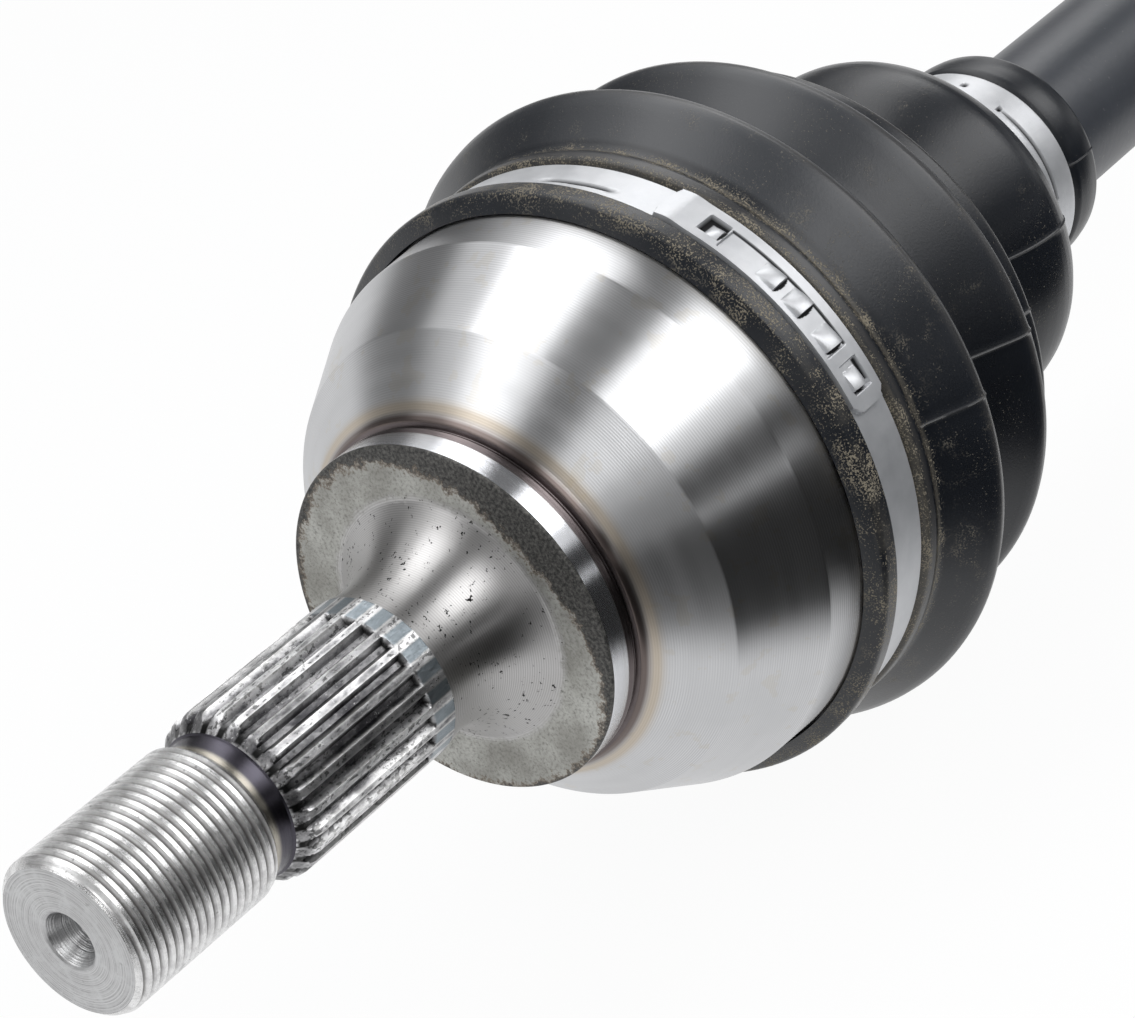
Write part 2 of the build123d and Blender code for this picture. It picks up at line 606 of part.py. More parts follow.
def main():
    """Build every piece and write it out."""
    os.makedirs("parts", exist_ok=True)
    write("outer_housing", outer_housing())
    write("outer_cage", cage())
    write("outer_inner_race", inner_race())
    for number, angle in enumerate(ball_angles(), start=1):
        write(f"outer_ball_{number}", ball(angle))
    write("axle_bar", axle_bar())
    write("race_snap_ring", snap_ring(race_ring_x, ring_groove_r, RING_HEIGHT))
    write("tripod_spider", spider())
    write("spider_snap_ring", snap_ring(spider_ring_x, ring_groove_r, RING_HEIGHT))
    for number, angle in enumerate(trunnion_angles(), start=1):
        write(f"tripod_roller_{number}", roller(angle))
        write(f"roller_needles_{number}", needles(angle))
    write("roller_washers", roller_washers())
    write("trunnion_clips", trunnion_clips())
    write("inner_housing", inner_housing())
    gearbox_ring_x = gearbox_spline_end + 2 * SEAT
    write("gearbox_snap_ring", snap_ring(gearbox_ring_x, gearbox_groove_r, GEARBOX_RING_HEIGHT))
    write("outer_boot", outer_boot())
    write("outer_boot_large_clamp", large_clamp(outer_lip_x + LIP_WIDTH + LOOSE, outer_collar_r + SEAT))
    write("outer_boot_small_clamp", band(outer_small_x + LOOSE, small_collar_r + SEAT))
    write("inner_boot", inner_boot())
    inner_clamp_x = inner_lip_x - INNER_LIP_WIDTH - LOOSE - CLAMP_WIDTH
    write("inner_boot_large_clamp", large_clamp(inner_clamp_x, inner_collar_r + SEAT))
    write("inner_boot_small_clamp", band(inner_small_x - LOOSE - CLAMP_WIDTH, small_collar_r + SEAT))


main()
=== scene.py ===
"""Front drive shaft, dressed for a studio photograph.

The file follows the shaft from the hub end to the gearbox end, one section for each piece or
group of like pieces. X runs along the shaft from the wheel to the gearbox and Z is up. Sizes
are in millimetres until a mesh is made, and angles run about X from +Y towards +Z.
"""
import math

import bmesh
import bpy
import numpy as np
from mathutils import Matrix, Vector


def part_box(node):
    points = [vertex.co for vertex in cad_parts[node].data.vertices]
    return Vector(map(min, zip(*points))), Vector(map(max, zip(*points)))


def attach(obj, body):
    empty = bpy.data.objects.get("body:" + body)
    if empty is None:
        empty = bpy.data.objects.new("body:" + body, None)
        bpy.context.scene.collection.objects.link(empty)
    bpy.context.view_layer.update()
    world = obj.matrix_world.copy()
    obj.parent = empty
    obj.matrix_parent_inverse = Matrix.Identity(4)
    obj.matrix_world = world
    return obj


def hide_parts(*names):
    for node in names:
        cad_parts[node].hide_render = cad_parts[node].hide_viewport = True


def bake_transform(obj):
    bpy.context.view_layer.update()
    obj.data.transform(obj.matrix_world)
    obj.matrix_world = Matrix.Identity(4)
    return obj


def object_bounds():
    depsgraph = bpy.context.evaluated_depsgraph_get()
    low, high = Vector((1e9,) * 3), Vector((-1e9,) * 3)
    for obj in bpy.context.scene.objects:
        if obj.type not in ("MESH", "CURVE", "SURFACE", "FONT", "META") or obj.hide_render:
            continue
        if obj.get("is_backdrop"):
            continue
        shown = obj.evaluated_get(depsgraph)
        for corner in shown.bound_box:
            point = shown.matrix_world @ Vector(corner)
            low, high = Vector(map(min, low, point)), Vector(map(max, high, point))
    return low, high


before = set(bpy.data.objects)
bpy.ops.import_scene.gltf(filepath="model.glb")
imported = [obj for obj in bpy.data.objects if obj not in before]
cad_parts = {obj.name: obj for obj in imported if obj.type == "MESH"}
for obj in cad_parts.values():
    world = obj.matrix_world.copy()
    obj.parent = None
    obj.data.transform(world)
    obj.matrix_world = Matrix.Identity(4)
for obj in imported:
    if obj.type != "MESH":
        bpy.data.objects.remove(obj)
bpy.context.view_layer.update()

# Hub stub: the end that goes through the wheel hub and takes the hub nut. It is one forging
# with the joint's housing, turned all over. The thread is rolled, and its roots are painted
# darker as shade; the 25 splines are rolled cold, which leaves smeared tips, with painted
# highlights along the tips' edges, painted shade in their roots and near-black painted shade in
# the gaps where the teeth run out.
MM = 0.001
STUB_START = -79.8
THREAD_END = -51.9
SPLINE_START = -48.3
SPLINE_END = -16.3
THREAD_R = 12.0
THREAD_PITCH = 1.5
THREAD_DEPTH = 0.7
END_R = 10.9
NECK_R = 10.9
TOOTH_FOOT_R = 12.0
TOOTH_TIP_R = 13.1
TOOTH_DEPTH = 1.1
TOOTH_FOOT = 0.36           # half width of a tooth at its foot, as a share of the pitch
TOOTH_TOP = 0.16            # half width of a tooth at its tip, as a share of the pitch
HUB_TEETH = 25
LAND_FROM = -20.6           # the flats between the teeth where the splines run out
SHARP_EDGE = math.radians(32)


def rounded(corners, steps=5):
    """Line through (x, radius, cut) corners; a quadratic curve leaves each corner's two sides a cut before it."""
    corners = np.array(corners, float)
    place, cut = corners[:, :2], corners[:, 2:]
    back = np.roll(place, 1, 0) - place
    ahead = np.roll(place, -1, 0) - place
    start = place + cut * back / np.linalg.norm(back, axis=1, keepdims=True)
    end = place + cut * ahead / np.linalg.norm(ahead, axis=1, keepdims=True)
    t = np.linspace(0, 1, steps)[:, None, None]
    curve = (1 - t) ** 2 * start + 2 * t * (1 - t) * place + t * t * end
    line = curve.transpose(1, 0, 2).reshape(-1, 2)
    keep = np.append(True, np.linalg.norm(np.diff(line, axis=0), axis=1) > 1e-6)
    return line[keep]


def spaced(line, step):
    """The same line with points added so that none lie further apart than step."""
    along = np.append(0, np.cumsum(np.linalg.norm(np.diff(line, axis=0), axis=1)))
    places = np.union1d(along, np.arange(0, along[-1], step))
    return np.stack([np.interp(places, along, line[:, 0]), np.interp(places, along, line[:, 1])], 1)


def clipped(value):
    """The value held between 0 and 1."""
    return np.clip(value, 0, 1)


def bump(x, at, width):
    """Smooth bump of height 1 at that place."""
    return np.exp(-((x - at) / width) ** 2)


def even_turns(columns):
    """Equal shares of a full turn, both ends included."""
    return np.linspace(0, 1, columns + 1)


def toothed_turns(teeth):
    """Shares of a turn with a column at each corner of every tooth, both ends included."""
    half_tooth = np.array([0.06, TOOTH_TOP, 0.26, TOOTH_FOOT])
    phases = np.concatenate([-half_tooth[::-1], half_tooth, [0.45, 0.55]])
    turns = (np.arange(teeth)[:, None] + phases).ravel() / teeth
    return np.append(turns, turns[0] + 1)


def off_tooth(turns, teeth):
    """Distance from the middle of the nearest tooth, as a share of the pitch."""
    return np.abs((turns * teeth + 0.5) % 1 - 0.5)


def tooth_height(turns, teeth):
    """Height of a straight-sided tooth, 0 between teeth and 1 on its flat tip."""
    return clipped((TOOTH_FOOT - off_tooth(turns, teeth)) / (TOOTH_FOOT - TOOTH_TOP))


def rings(x, r, turns):
    """Grid of points: row i is a ring about X at x[i] with radius r[i]; both may vary along the ring."""
    angle = 2 * np.pi * turns
    x, r, angle = np.broadcast_arrays(x, r, angle)
    return np.stack([x, r * np.cos(angle), r * np.sin(angle)], -1)


def turned_rings(line, turns):
    """Grid of points of an (x, radius) line turned about X."""
    return rings(line[:, :1], line[:, 1:], turns)


def pole(x, turns):
    """Row of points on the axis, which closes a flat end."""
    return rings(np.array([[x]]), np.array([[0.0]]), turns)


def make_piece(name, points, materials, bands=(), closed=False, masks=None):
    """Quads between neighbouring points of a (rows, columns, 3) grid; points that coincide are merged.

    bands holds the row from which each further material is used, closed joins the last row to
    the first, and masks are named values per point for the materials.
    """
    rows, columns = points.shape[:2]
    index = np.arange(rows * columns).reshape(rows, columns)
    if closed:
        index = np.vstack([index, index[:1]])
    quads = np.stack([index[:-1, :-1], index[:-1, 1:], index[1:, 1:], index[1:, :-1]], -1)
    mesh = bpy.data.meshes.new(name)
    mesh.from_pydata((points * MM).reshape(-1, 3), [], quads.reshape(-1, 4))
    band = np.searchsorted(bands, np.arange(len(quads)), side="right")
    mesh.polygons.foreach_set("material_index", np.repeat(band, columns - 1))
    for mask, values in (masks or {}).items():
        stored = mesh.attributes.new(mask, "FLOAT", "POINT")
        stored.data.foreach_set("value", np.broadcast_to(values, (rows, columns)).astype(np.float32).ravel())
    work = bmesh.new()
    work.from_mesh(mesh)
    bmesh.ops.remove_doubles(work, verts=work.verts, dist=1e-6)
    work.to_mesh(mesh)
    work.free()
    for material in materials:
        mesh.materials.append(material)
    mesh.shade_smooth()
    mesh.set_sharp_from_angle(angle=SHARP_EDGE)
    piece = bpy.data.objects.new(name, mesh)
    bpy.context.scene.collection.objects.link(piece)
    return piece


def add(tree, kind, inputs=None, **settings):
    """New shader node of that kind; inputs take plain values or other nodes' outputs."""
    made = tree.nodes.new("ShaderNode" + kind)
    for name, value in settings.items():
        setattr(made, name, value)
    for name, value in (inputs or {}).items():
        if isinstance(value, bpy.types.NodeSocket):
            tree.links.new(value, made.inputs[name])
        else:
            made.inputs[name].default_value = value
    return made


def math_of(tree, operation, first, second=0.0, clamp=False):
    """Output of one Math node."""
    return add(tree, "Math", {0: first, 1: second}, operation=operation, use_clamp=clamp).outputs[0]


def plus(tree, first, second, clamp=False):
    """Sum of two values."""
    return math_of(tree, "ADD", first, second, clamp)


def minus(tree, first, second):
    """Difference of two values."""
    return math_of(tree, "SUBTRACT", first, second)


def times(tree, first, second):
    """Product of two values."""
    return math_of(tree, "MULTIPLY", first, second)


def blend_of(tree, share, first, second):
    """Colour between two, each given as (red, green, blue) or as another node's output."""
    first, second = [(*color, 1) if isinstance(color, tuple) else color for color in (first, second)]
    return add(tree, "Mix", {0: share, 6: first, 7: second}, data_type="RGBA").outputs[2]


def coated(tree, color, coat, mask, share):
    """Colour with that share of another one over it where the mask is 1."""
    return blend_of(tree, times(tree, mask, share), color, coat)


def step_of(tree, value, low, high):
    """Smooth step from 0 at low to 1 at high."""
    inputs = {"Value": value, "From Min": low, "From Max": high}
    return add(tree, "MapRange", inputs, interpolation_type="SMOOTHSTEP").outputs[0]


def noise_of(tree, vector, scale, detail=2.0, roughness=0.5):
    """Value of a three-dimensional noise."""
    inputs = {"Vector": vector, "Scale": scale, "Detail": detail, "Roughness": roughness}
    return add(tree, "TexNoise", inputs).outputs["Fac"]


def effect(name, inputs, outputs):
    """Empty node group with those sockets; returns its tree, its input sockets and its output node."""
    group = bpy.data.node_groups.new(name, "ShaderNodeTree")
    for socket, kind in inputs:
        group.interface.new_socket(socket, in_out="INPUT", socket_type="NodeSocket" + kind)
    for socket, kind in outputs:
        group.interface.new_socket(socket, in_out="OUTPUT", socket_type="NodeSocket" + kind)
    return group, group.nodes.new("NodeGroupInput").outputs, group.nodes.new("NodeGroupOutput")


def new_material(name, **plain):
    """Material with a Principled shader; plain sets its sockets that are the same all over."""
    material = bpy.data.materials.new(name)
    material.use_nodes = True
    tree = material.node_tree
    shader = tree.nodes["Principled BSDF"]
    for socket, value in plain.items():
        shader.inputs[socket.replace("_", " ")].default_value = value
    place = add(tree, "TexCoord").outputs["Object"]
    return material, tree, shader, place


def finish_surface(tree, shader, color, roughness, height=None, distance=0.0001):
    """Join colour, roughness and a height for the bump to the shader; distance is in metres."""
    tree.links.new(color, shader.inputs["Base Color"])
    tree.links.new(roughness, shader.inputs["Roughness"])
    if height is not None:
        bump = add(tree, "Bump", {"Height": height, "Distance": distance})
        tree.links.new(bump.outputs[0], shader.inputs["Normal"])


def brush_round_axis(tree, shader, amount):
    """Give the surface the fine grain round X that a lathe leaves, which spreads reflections along X."""
    shader.inputs["Anisotropic"].default_value = amount
    shader.inputs["Anisotropic Rotation"].default_value = 0.25
    tangent = add(tree, "Tangent", direction_type="RADIAL", axis="X").outputs[0]
    tree.links.new(tangent, shader.inputs["Tangent"])


def mask_of(tree, name):
    """A value stored on the mesh."""
    return add(tree, "Attribute", attribute_name=name).outputs["Fac"]


# Rings left by a turning tool: the height depends only on x plus the distance from the axis,
# so the same rule gives rings on cylinders, cones and flat ends. Scale is rings per metre.
# Marks are the evenly spaced lines of the tool's feed, Fine and Broad are uneven.
turning, given, out = effect("turning_rings", [("Vector", "Vector"), ("Scale", "Float"), ("Wander", "Float")],
                             [("Marks", "Float"), ("Fine", "Float"), ("Broad", "Float")])
split = add(turning, "SeparateXYZ", {0: given["Vector"]}).outputs
square = plus(turning, math_of(turning, "POWER", split[1], 2.0), math_of(turning, "POWER", split[2], 2.0))
ring = plus(turning, split[0], math_of(turning, "SQRT", square))
drift = times(turning, noise_of(turning, given["Vector"], 60.0), given["Wander"])
ring = plus(turning, ring, drift)
count = times(turning, ring, given["Scale"])
fine = add(turning, "TexNoise", {"W": count, "Scale": 1.7, "Detail": 2.0, "Roughness": 0.7}, noise_dimensions="1D")
few = times(turning, count, 0.09)
broad = add(turning, "TexNoise", {"W": few, "Scale": 1.0, "Detail": 1.0, "Roughness": 0.5}, noise_dimensions="1D")
wave = math_of(turning, "SINE", times(turning, count, 2 * math.pi))
worn_away = step_of(turning, noise_of(turning, given["Vector"], 45.0, 3.0), 0.3, 0.65)
depth = times(turning, plus(turning, 0.15, times(turning, worn_away, 0.35)), wave)
turning.links.new(plus(turning, 0.5, depth), out.inputs["Marks"])
turning.links.new(fine.outputs["Fac"], out.inputs["Fine"])
turning.links.new(broad.outputs["Fac"], out.inputs["Broad"])


def tool_lines(tree, vector, scale, wander):
    """The turning rings placed in a material; returns their outputs."""
    return add(tree, "Group", {"Vector": vector, "Scale": scale, "Wander": wander}, node_tree=turning).outputs


# Specks: dark pits, grains of dust or smears. Noise cut off at a level, so that Amount is
# about the share of the surface that they cover, in patches set by a second, wider noise.
specks, given, out = effect("specks", [("Vector", "Vector"), ("Scale", "Float"), ("Amount", "Float"),
                                       ("Patches", "Float")], [("Mask", "Float")])
small = noise_of(specks, given["Vector"], given["Scale"], 3.0, 0.6)
wide = noise_of(specks, given["Vector"], given["Patches"], 2.0)
level = minus(specks, 0.78, times(specks, given["Amount"], wide))
mask = step_of(specks, minus(specks, small, level), 0.0, 0.04)
specks.links.new(mask, out.inputs["Mask"])


def specks_of(tree, vector, scale, amount, patches):
    """Mask of the specks placed in a material."""
    inputs = {"Vector": vector, "Scale": scale, "Amount": amount, "Patches": patches}
    return add(tree, "Group", inputs, node_tree=specks).outputs["Mask"]


thread_steel, tree, shader, place = new_material("rolled_thread_steel", Metallic=1.0)
groove = mask_of(tree, "groove")
lines = tool_lines(tree, place, 6000.0, 0.0005)
stain = noise_of(tree, place, 420.0, 5.0, 0.7)
crest = blend_of(tree, step_of(tree, stain, 0.35, 0.6), (0.60, 0.598, 0.60), (0.80, 0.80, 0.80))
# The thread's roots are painted darker than its crests: painted shade in the grooves.
shaded_root = blend_of(tree, stain, (0.12, 0.115, 0.11), (0.36, 0.355, 0.35))
color = blend_of(tree, step_of(tree, groove, 0.3, 0.9), crest, shaded_root)
nicks = specks_of(tree, place, 1600.0, 0.22, 130.0)
color = coated(tree, color, (0.1, 0.1, 0.1), nicks, 0.6)
roughness = plus(tree, 0.27, times(tree, groove, 0.25))
height = plus(tree, lines["Fine"], times(tree, stain, 2.0))
finish_surface(tree, shader, color, roughness, height, 0.00003)

spline_steel, tree, shader, place = new_material("cold_rolled_spline_steel", Metallic=1.0)
groove = mask_of(tree, "groove")
edge_glint = mask_of(tree, "edge_glint")
stretch = add(tree, "Mapping", {"Vector": place, "Scale": (0.6, 1.0, 1.0)}).outputs[0]
smear = noise_of(tree, stretch, 520.0, 7.0, 0.72)
spots = specks_of(tree, stretch, 1700.0, 0.42, 160.0)
bright = specks_of(tree, place, 2100.0, 0.26, 210.0)
patch = noise_of(tree, stretch, 150.0, 4.0, 0.6)
mottled = plus(tree, times(tree, smear, 0.45), times(tree, patch, 0.55))
mottled = step_of(tree, mottled, 0.36, 0.62)
tip = blend_of(tree, mottled, (0.11, 0.109, 0.115), (0.74, 0.74, 0.75))
# The roots are painted darker than the tips: painted shade between the teeth.
shaded_root = blend_of(tree, mottled, (0.05, 0.049, 0.054), (0.38, 0.378, 0.385))
color = blend_of(tree, step_of(tree, groove, 0.3, 0.8), tip, shaded_root)
color = coated(tree, color, (0.04, 0.04, 0.04), spots, 0.75)
color = coated(tree, color, (0.7, 0.7, 0.7), bright, 0.5)
# Painted highlight: a thin bright line along the edges of each tooth tip.
color = coated(tree, color, (0.78, 0.78, 0.77), edge_glint, 0.5)
land = mask_of(tree, "land")
flat_land = blend_of(tree, smear, (0.17, 0.20, 0.22), (0.26, 0.30, 0.33))
color = coated(tree, color, flat_land, land, 0.92)
# Painted shade: near black in the gaps where the teeth run out and at the step before the lands.
color = blend_of(tree, mask_of(tree, "gap_shade"), color, (0.012, 0.012, 0.012))
roughness = minus(tree, 0.5, times(tree, smear, 0.35))
finish_surface(tree, shader, color, roughness, smear, 0.00012)

turns = toothed_turns(HUB_TEETH)
front = rounded([(STUB_START + 8.0, 0, 0), (STUB_START + 7.2, 1.3, 0), (STUB_START + 0.3, 4.1, 0.1),
                 (STUB_START, 4.5, 0.1), (STUB_START, END_R, 0)])
front = spaced(front, 1.5)
form = np.array([(0, 0), (0.05, 0), (0.10, 0.08), (0.22, 0.5), (0.34, 1), (0.55, 1), (0.76, 1), (0.88, 0.5)])
pitches = np.arange(-1, (THREAD_END - STUB_START) / THREAD_PITCH + 1)
along = ((pitches[:, None] + form[:, 0]).reshape(-1, 1) + turns) * THREAD_PITCH + STUB_START
along = np.clip(along, STUB_START, THREAD_END)
crest_r = THREAD_R - THREAD_DEPTH + THREAD_DEPTH * np.tile(form[:, 1], len(pitches))[:, None]
envelope = np.minimum(END_R + (along - STUB_START), NECK_R + 0.9 * (THREAD_END - along))
thread_r = np.minimum(crest_r, envelope)
thread = rings(along, thread_r, turns)
thread_groove = clipped((np.minimum(THREAD_R, envelope) - thread_r) / THREAD_DEPTH)

neck = np.array([(THREAD_END, NECK_R), (THREAD_END + 0.6, NECK_R - 0.1), (SPLINE_START - 0.7, NECK_R - 0.1),
                 (SPLINE_START - 0.2, NECK_R), (SPLINE_START, NECK_R + 0.3)])
lengthways = [0, .4, .8, 1.2, 1.6, 2.0, 3, 5, 8, 11, 14, 17, 20, 23, 25.5, 26.6, 27.1, 27.3, 27.5, 27.7, 27.9, 28.1,
              28.4, 29.2, 30.2, 31.2, 32.0]
x = SPLINE_START + np.array(lengthways)[:, None]
run_out = clipped((x - LAND_FROM + 0.6) / 0.9)
foot_r = TOOTH_FOOT_R + (TOOTH_TIP_R - 0.05 - TOOTH_FOOT_R) * run_out ** 2 * (3 - 2 * run_out)
tooth = tooth_height(turns, HUB_TEETH)
tooth_r = foot_r + (TOOTH_TIP_R - foot_r) * tooth
tooth_r = np.minimum(tooth_r, NECK_R + 0.3 + 0.85 * (x - SPLINE_START))
points = np.concatenate([turned_rings(front, turns), thread, turned_rings(neck, turns), rings(x, tooth_r, turns),
                         pole(SPLINE_END, turns)])


def stub_mask(on_teeth, on_thread=0):
    """Mask over the whole stub, 0 outside its teeth and its thread."""
    parts = [0 * front[:, :1], on_thread + 0 * along, 0 * neck[:, :1], on_teeth, np.zeros((1, 1))]
    return np.concatenate([part + 0 * turns for part in parts])


between_teeth = tooth < 0.6
groove = stub_mask(clipped((TOOTH_TIP_R - tooth_r) / TOOTH_DEPTH), thread_groove)
land = stub_mask(clipped((x - LAND_FROM) / 0.3) * between_teeth)
# Painted highlight along the edges of the tooth tips.
tip_edge = np.abs(off_tooth(turns, HUB_TEETH) - TOOTH_TOP) < 0.02
edge_glint = stub_mask(tip_edge * clipped((x - SPLINE_START - 1.5) / 1.0))
# Painted shade in the gaps at the teeth's outboard ends and in a notch before the lands.
notch = bump(x, LAND_FROM - 0.35, 0.3) * between_teeth
gap_shade = stub_mask(np.maximum(notch, clipped((SPLINE_START + 3.4 - x) / 2.4) * (tooth < 0.4)))

end_steel, tree, shader, place = new_material("turned_end_steel", Metallic=1.0)
lines = tool_lines(tree, place, 2800.0, 0.0002)
cloud = noise_of(tree, place, 400.0, 5.0, 0.65)
nicks = specks_of(tree, place, 1400.0, 0.2, 200.0)
color = blend_of(tree, step_of(tree, lines["Fine"], 0.3, 0.7), (0.34, 0.34, 0.345), (0.62, 0.62, 0.625))
color = blend_of(tree, step_of(tree, cloud, 0.4, 0.7), color, (0.58, 0.585, 0.59))
color = coated(tree, color, (0.16, 0.155, 0.15), nicks, 0.3)
height = plus(tree, lines["Fine"], cloud)
roughness = plus(tree, 0.26, times(tree, cloud, 0.25))
finish_surface(tree, shader, color, roughness, height, 0.00009)

neck_steel, tree, shader, place = new_material("stained_neck_steel", Metallic=1.0)
cloud = noise_of(tree, place, 180.0, 3.0)
lines = tool_lines(tree, place, 4200.0, 0.0002)
along = add(tree, "SeparateXYZ", {0: place}).outputs[0]
straw = blend_of(tree, cloud, (0.26, 0.24, 0.20), (0.48, 0.455, 0.40))
blued = blend_of(tree, cloud, (0.035, 0.033, 0.042), (0.10, 0.095, 0.115))
color = blend_of(tree, step_of(tree, along, (THREAD_END + 0.5) * MM, (THREAD_END + 1.4) * MM), straw, blued)
roughness = plus(tree, 0.16, times(tree, cloud, 0.15))
finish_surface(tree, shader, color, roughness, lines["Fine"], 0.00003)

bands = np.cumsum([len(front), len(thread), len(neck)]) - 1
hub_stub = make_piece("hub_stub", points, [end_steel, thread_steel, neck_steel, spline_steel], bands,
                      masks={"groove": groove, "land": land, "edge_glint": edge_glint, "gap_shade": gap_shade})
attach(hub_stub, "outer_housing")
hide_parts("outer_housing")

# Flare and shoulder: the stub widens in a hollow turned curve. Outside it the shoulder ring
# keeps its forged skin, grey-brown and rough, with dark scale at its edge that is widest on
# one side. A ground journal for the hub's seal and a narrow heat-tinted bead follow.
FLARE_R = 18.6
SHOULDER_R = 27.6
JOURNAL_END = 4.2
BELL_START = 6.2

shoulder_steel, tree, shader, place = new_material("turned_and_forged_steel")
skin = mask_of(tree, "skin")
scale = mask_of(tree, "scale")
lines = tool_lines(tree, place, 2200.0, 0.0001)
pits = specks_of(tree, place, 1500.0, 0.27, 120.0)
cloud = noise_of(tree, place, 110.0, 4.0, 0.6)
grains = noise_of(tree, place, 1900.0, 4.0, 0.7)
blotch = noise_of(tree, place, 420.0, 6.0, 0.7)
uneven = minus(tree, plus(tree, blotch, times(tree, grains, 0.5)), 0.75)
skin_here = step_of(tree, plus(tree, skin, times(tree, uneven, 0.9)), 0.3, 0.8)
scale_at = plus(tree, scale, times(tree, uneven, 1.3))
scale_here = step_of(tree, scale_at, 0.44, 0.56)
turned = blend_of(tree, lines["Marks"], (0.36, 0.355, 0.36), (0.56, 0.555, 0.56))
turned = coated(tree, turned, (0.33, 0.32, 0.30), cloud, 0.5)
turned = blend_of(tree, pits, turned, (0.03, 0.03, 0.03))
forged = blend_of(tree, step_of(tree, cloud, 0.3, 0.7), (0.31, 0.305, 0.28), (0.52, 0.52, 0.49))
forged = coated(tree, forged, (0.17, 0.165, 0.15), step_of(tree, grains, 0.42, 0.75), 0.8)
black = blend_of(tree, step_of(tree, grains, 0.35, 0.7), (0.02, 0.0195, 0.019), (0.13, 0.125, 0.115))
not_scale = minus(tree, 1.0, step_of(tree, scale_at, 0.5, 0.6))
rust = times(tree, step_of(tree, scale_at, 0.36, 0.46), not_scale)
color = blend_of(tree, skin_here, turned, forged)
color = blend_of(tree, scale_here, color, black)
color = coated(tree, color, (0.16, 0.105, 0.06), rust, 0.45)
metal = minus(tree, 1.0, times(tree, skin_here, 0.25))
metal = times(tree, metal, minus(tree, 1.0, times(tree, scale_here, 0.6)))
tree.links.new(metal, shader.inputs["Metallic"])
roughness = plus(tree, 0.36, times(tree, skin_here, 0.14))
roughness = plus(tree, roughness, times(tree, pits, 0.3))
coarse = times(tree, plus(tree, grains, times(tree, blotch, 0.7)), plus(tree, 0.08, skin_here))
height = plus(tree, coarse, times(tree, lines["Marks"], 0.12))
finish_surface(tree, shader, color, roughness, height, 0.00005)
brush_round_axis(tree, shader, 0.75)

journal_steel, tree, shader, place = new_material("ground_journal_steel", Metallic=1.0)
lines = tool_lines(tree, place, 9000.0, 0.0)
cloud = noise_of(tree, place, 150.0, 3.0)
tint = mask_of(tree, "tint")
color = blend_of(tree, lines["Fine"], (0.58, 0.59, 0.62), (0.76, 0.77, 0.80))
burnt = blend_of(tree, cloud, (0.07, 0.06, 0.062), (0.20, 0.17, 0.17))
color = blend_of(tree, tint, color, burnt)
roughness = plus(tree, 0.1, times(tree, lines["Broad"], 0.1))
roughness = plus(tree, roughness, times(tree, tint, 0.12))
finish_surface(tree, shader, color, roughness, lines["Fine"], 0.00001)
brush_round_axis(tree, shader, 0.6)

turns = even_turns(240)
t = np.linspace(0, 1, 20)[:, None]
hollow = ((1 - t) ** 2 * np.array([SPLINE_END, TOOTH_TIP_R]) + 2 * t * (1 - t) * np.array([-5.55, 10.65])
          + t * t * np.array([-0.6, FLARE_R - 0.3]))
shoulder = rounded([(-0.6, FLARE_R - 0.3, 0), (0, FLARE_R + 0.6, 0.45), (0, SHOULDER_R, 0.5),
                    (JOURNAL_END, SHOULDER_R, 0.25), (4.3, 27.3, 0.1), (4.6, 27.3, 0.1), (5.1, 27.7, 0.3),
                    (5.6, 27.5, 0.2), (5.75, 27.2, 0.1), (6.0, 27.2, 0.1), (BELL_START, 28.0, 0)])
shoulder = spaced(shoulder, 0.5)
cone = np.concatenate([[(SPLINE_END, 0)], hollow[:-1], shoulder, [(BELL_START, 0)]])
x, r = cone[:, :1], cone[:, 1:]
skin = clipped((r - 17.9) / 3.2) * (x < 0.35) + 0 * turns
degrees = turns * 360
wide_side = bump(degrees, 150, 42) + 0.3 * bump(degrees, 95, 30)
scale_from = 27.2 - 6.2 * wide_side - 0.8 * bump(degrees, 40, 30)
scale = clipped((r - scale_from) / 5.0 + 0.5) * (x < 0.6) * (r > 19.5)
journal_start = len(hollow) + int(np.argmax(shoulder[:, 0] > 0.3))
tint = clipped((x - JOURNAL_END - 0.05) / 0.2)
flare = make_piece("flare_and_shoulder", rings(x, r, turns), [shoulder_steel, journal_steel], [journal_start],
                   masks={"skin": skin, "scale": scale, "tint": tint})
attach(flare, "outer_housing")
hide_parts("outer_housing")

# Joint bell: the housing of the ball joint, turned outside in two cones and a nearly straight
# land that the boot laps over. Inside it is a ball-shaped hollow with six ball tracks, each a
# torus cut about a point a little off the joint's centre.
BALL_X = 44.2
BALL_COUNT = 6
TRACK_OFFSET = 4.0
TRACK_RING_R = 30.27        # from the track's centre to the middle of a ball
TRACK_R = 8.8
BELL_MOUTH = 57.2
BELL_R = 45.4
CAVITY_BACK = 16.2
CAVITY_R = 33.8
CAVITY_BACK_R = 18.9
MOUTH_FROM = 53.2           # where the ball-shaped hollow ends and the mouth opens
TRACKS_FROM = 22.2

bell_steel, tree, shader, place = new_material("turned_bell_steel", Metallic=1.0)
lines = tool_lines(tree, place, 1900.0, 0.00004)
cloud = noise_of(tree, place, 70.0, 3.0)
stains = specks_of(tree, place, 260.0, 0.35, 60.0)
lined = plus(tree, times(tree, lines["Marks"], 0.65), times(tree, lines["Fine"], 0.35))
color = blend_of(tree, step_of(tree, lined, 0.2, 0.8), (0.485, 0.487, 0.50), (0.635, 0.64, 0.652))
color = blend_of(tree, step_of(tree, cloud, 0.35, 0.75), color, (0.52, 0.525, 0.535))
color = coated(tree, color, (0.5, 0.46, 0.38), stains, 0.25)
color = coated(tree, color, (0.42, 0.29, 0.12), mask_of(tree, "tint"), 0.8)
color = coated(tree, color, (0.11, 0.08, 0.07), mask_of(tree, "burnt"), 0.9)
sand = specks_of(tree, place, 3200.0, 0.85, 230.0)
sand = times(tree, sand, mask_of(tree, "dust"))
color = blend_of(tree, sand, color, (0.22, 0.18, 0.12))
roughness = plus(tree, 0.27, times(tree, lines["Broad"], 0.1))
roughness = plus(tree, roughness, times(tree, sand, 0.4))
finish_surface(tree, shader, color, roughness, lined, 0.000008)
brush_round_axis(tree, shader, 0.88)


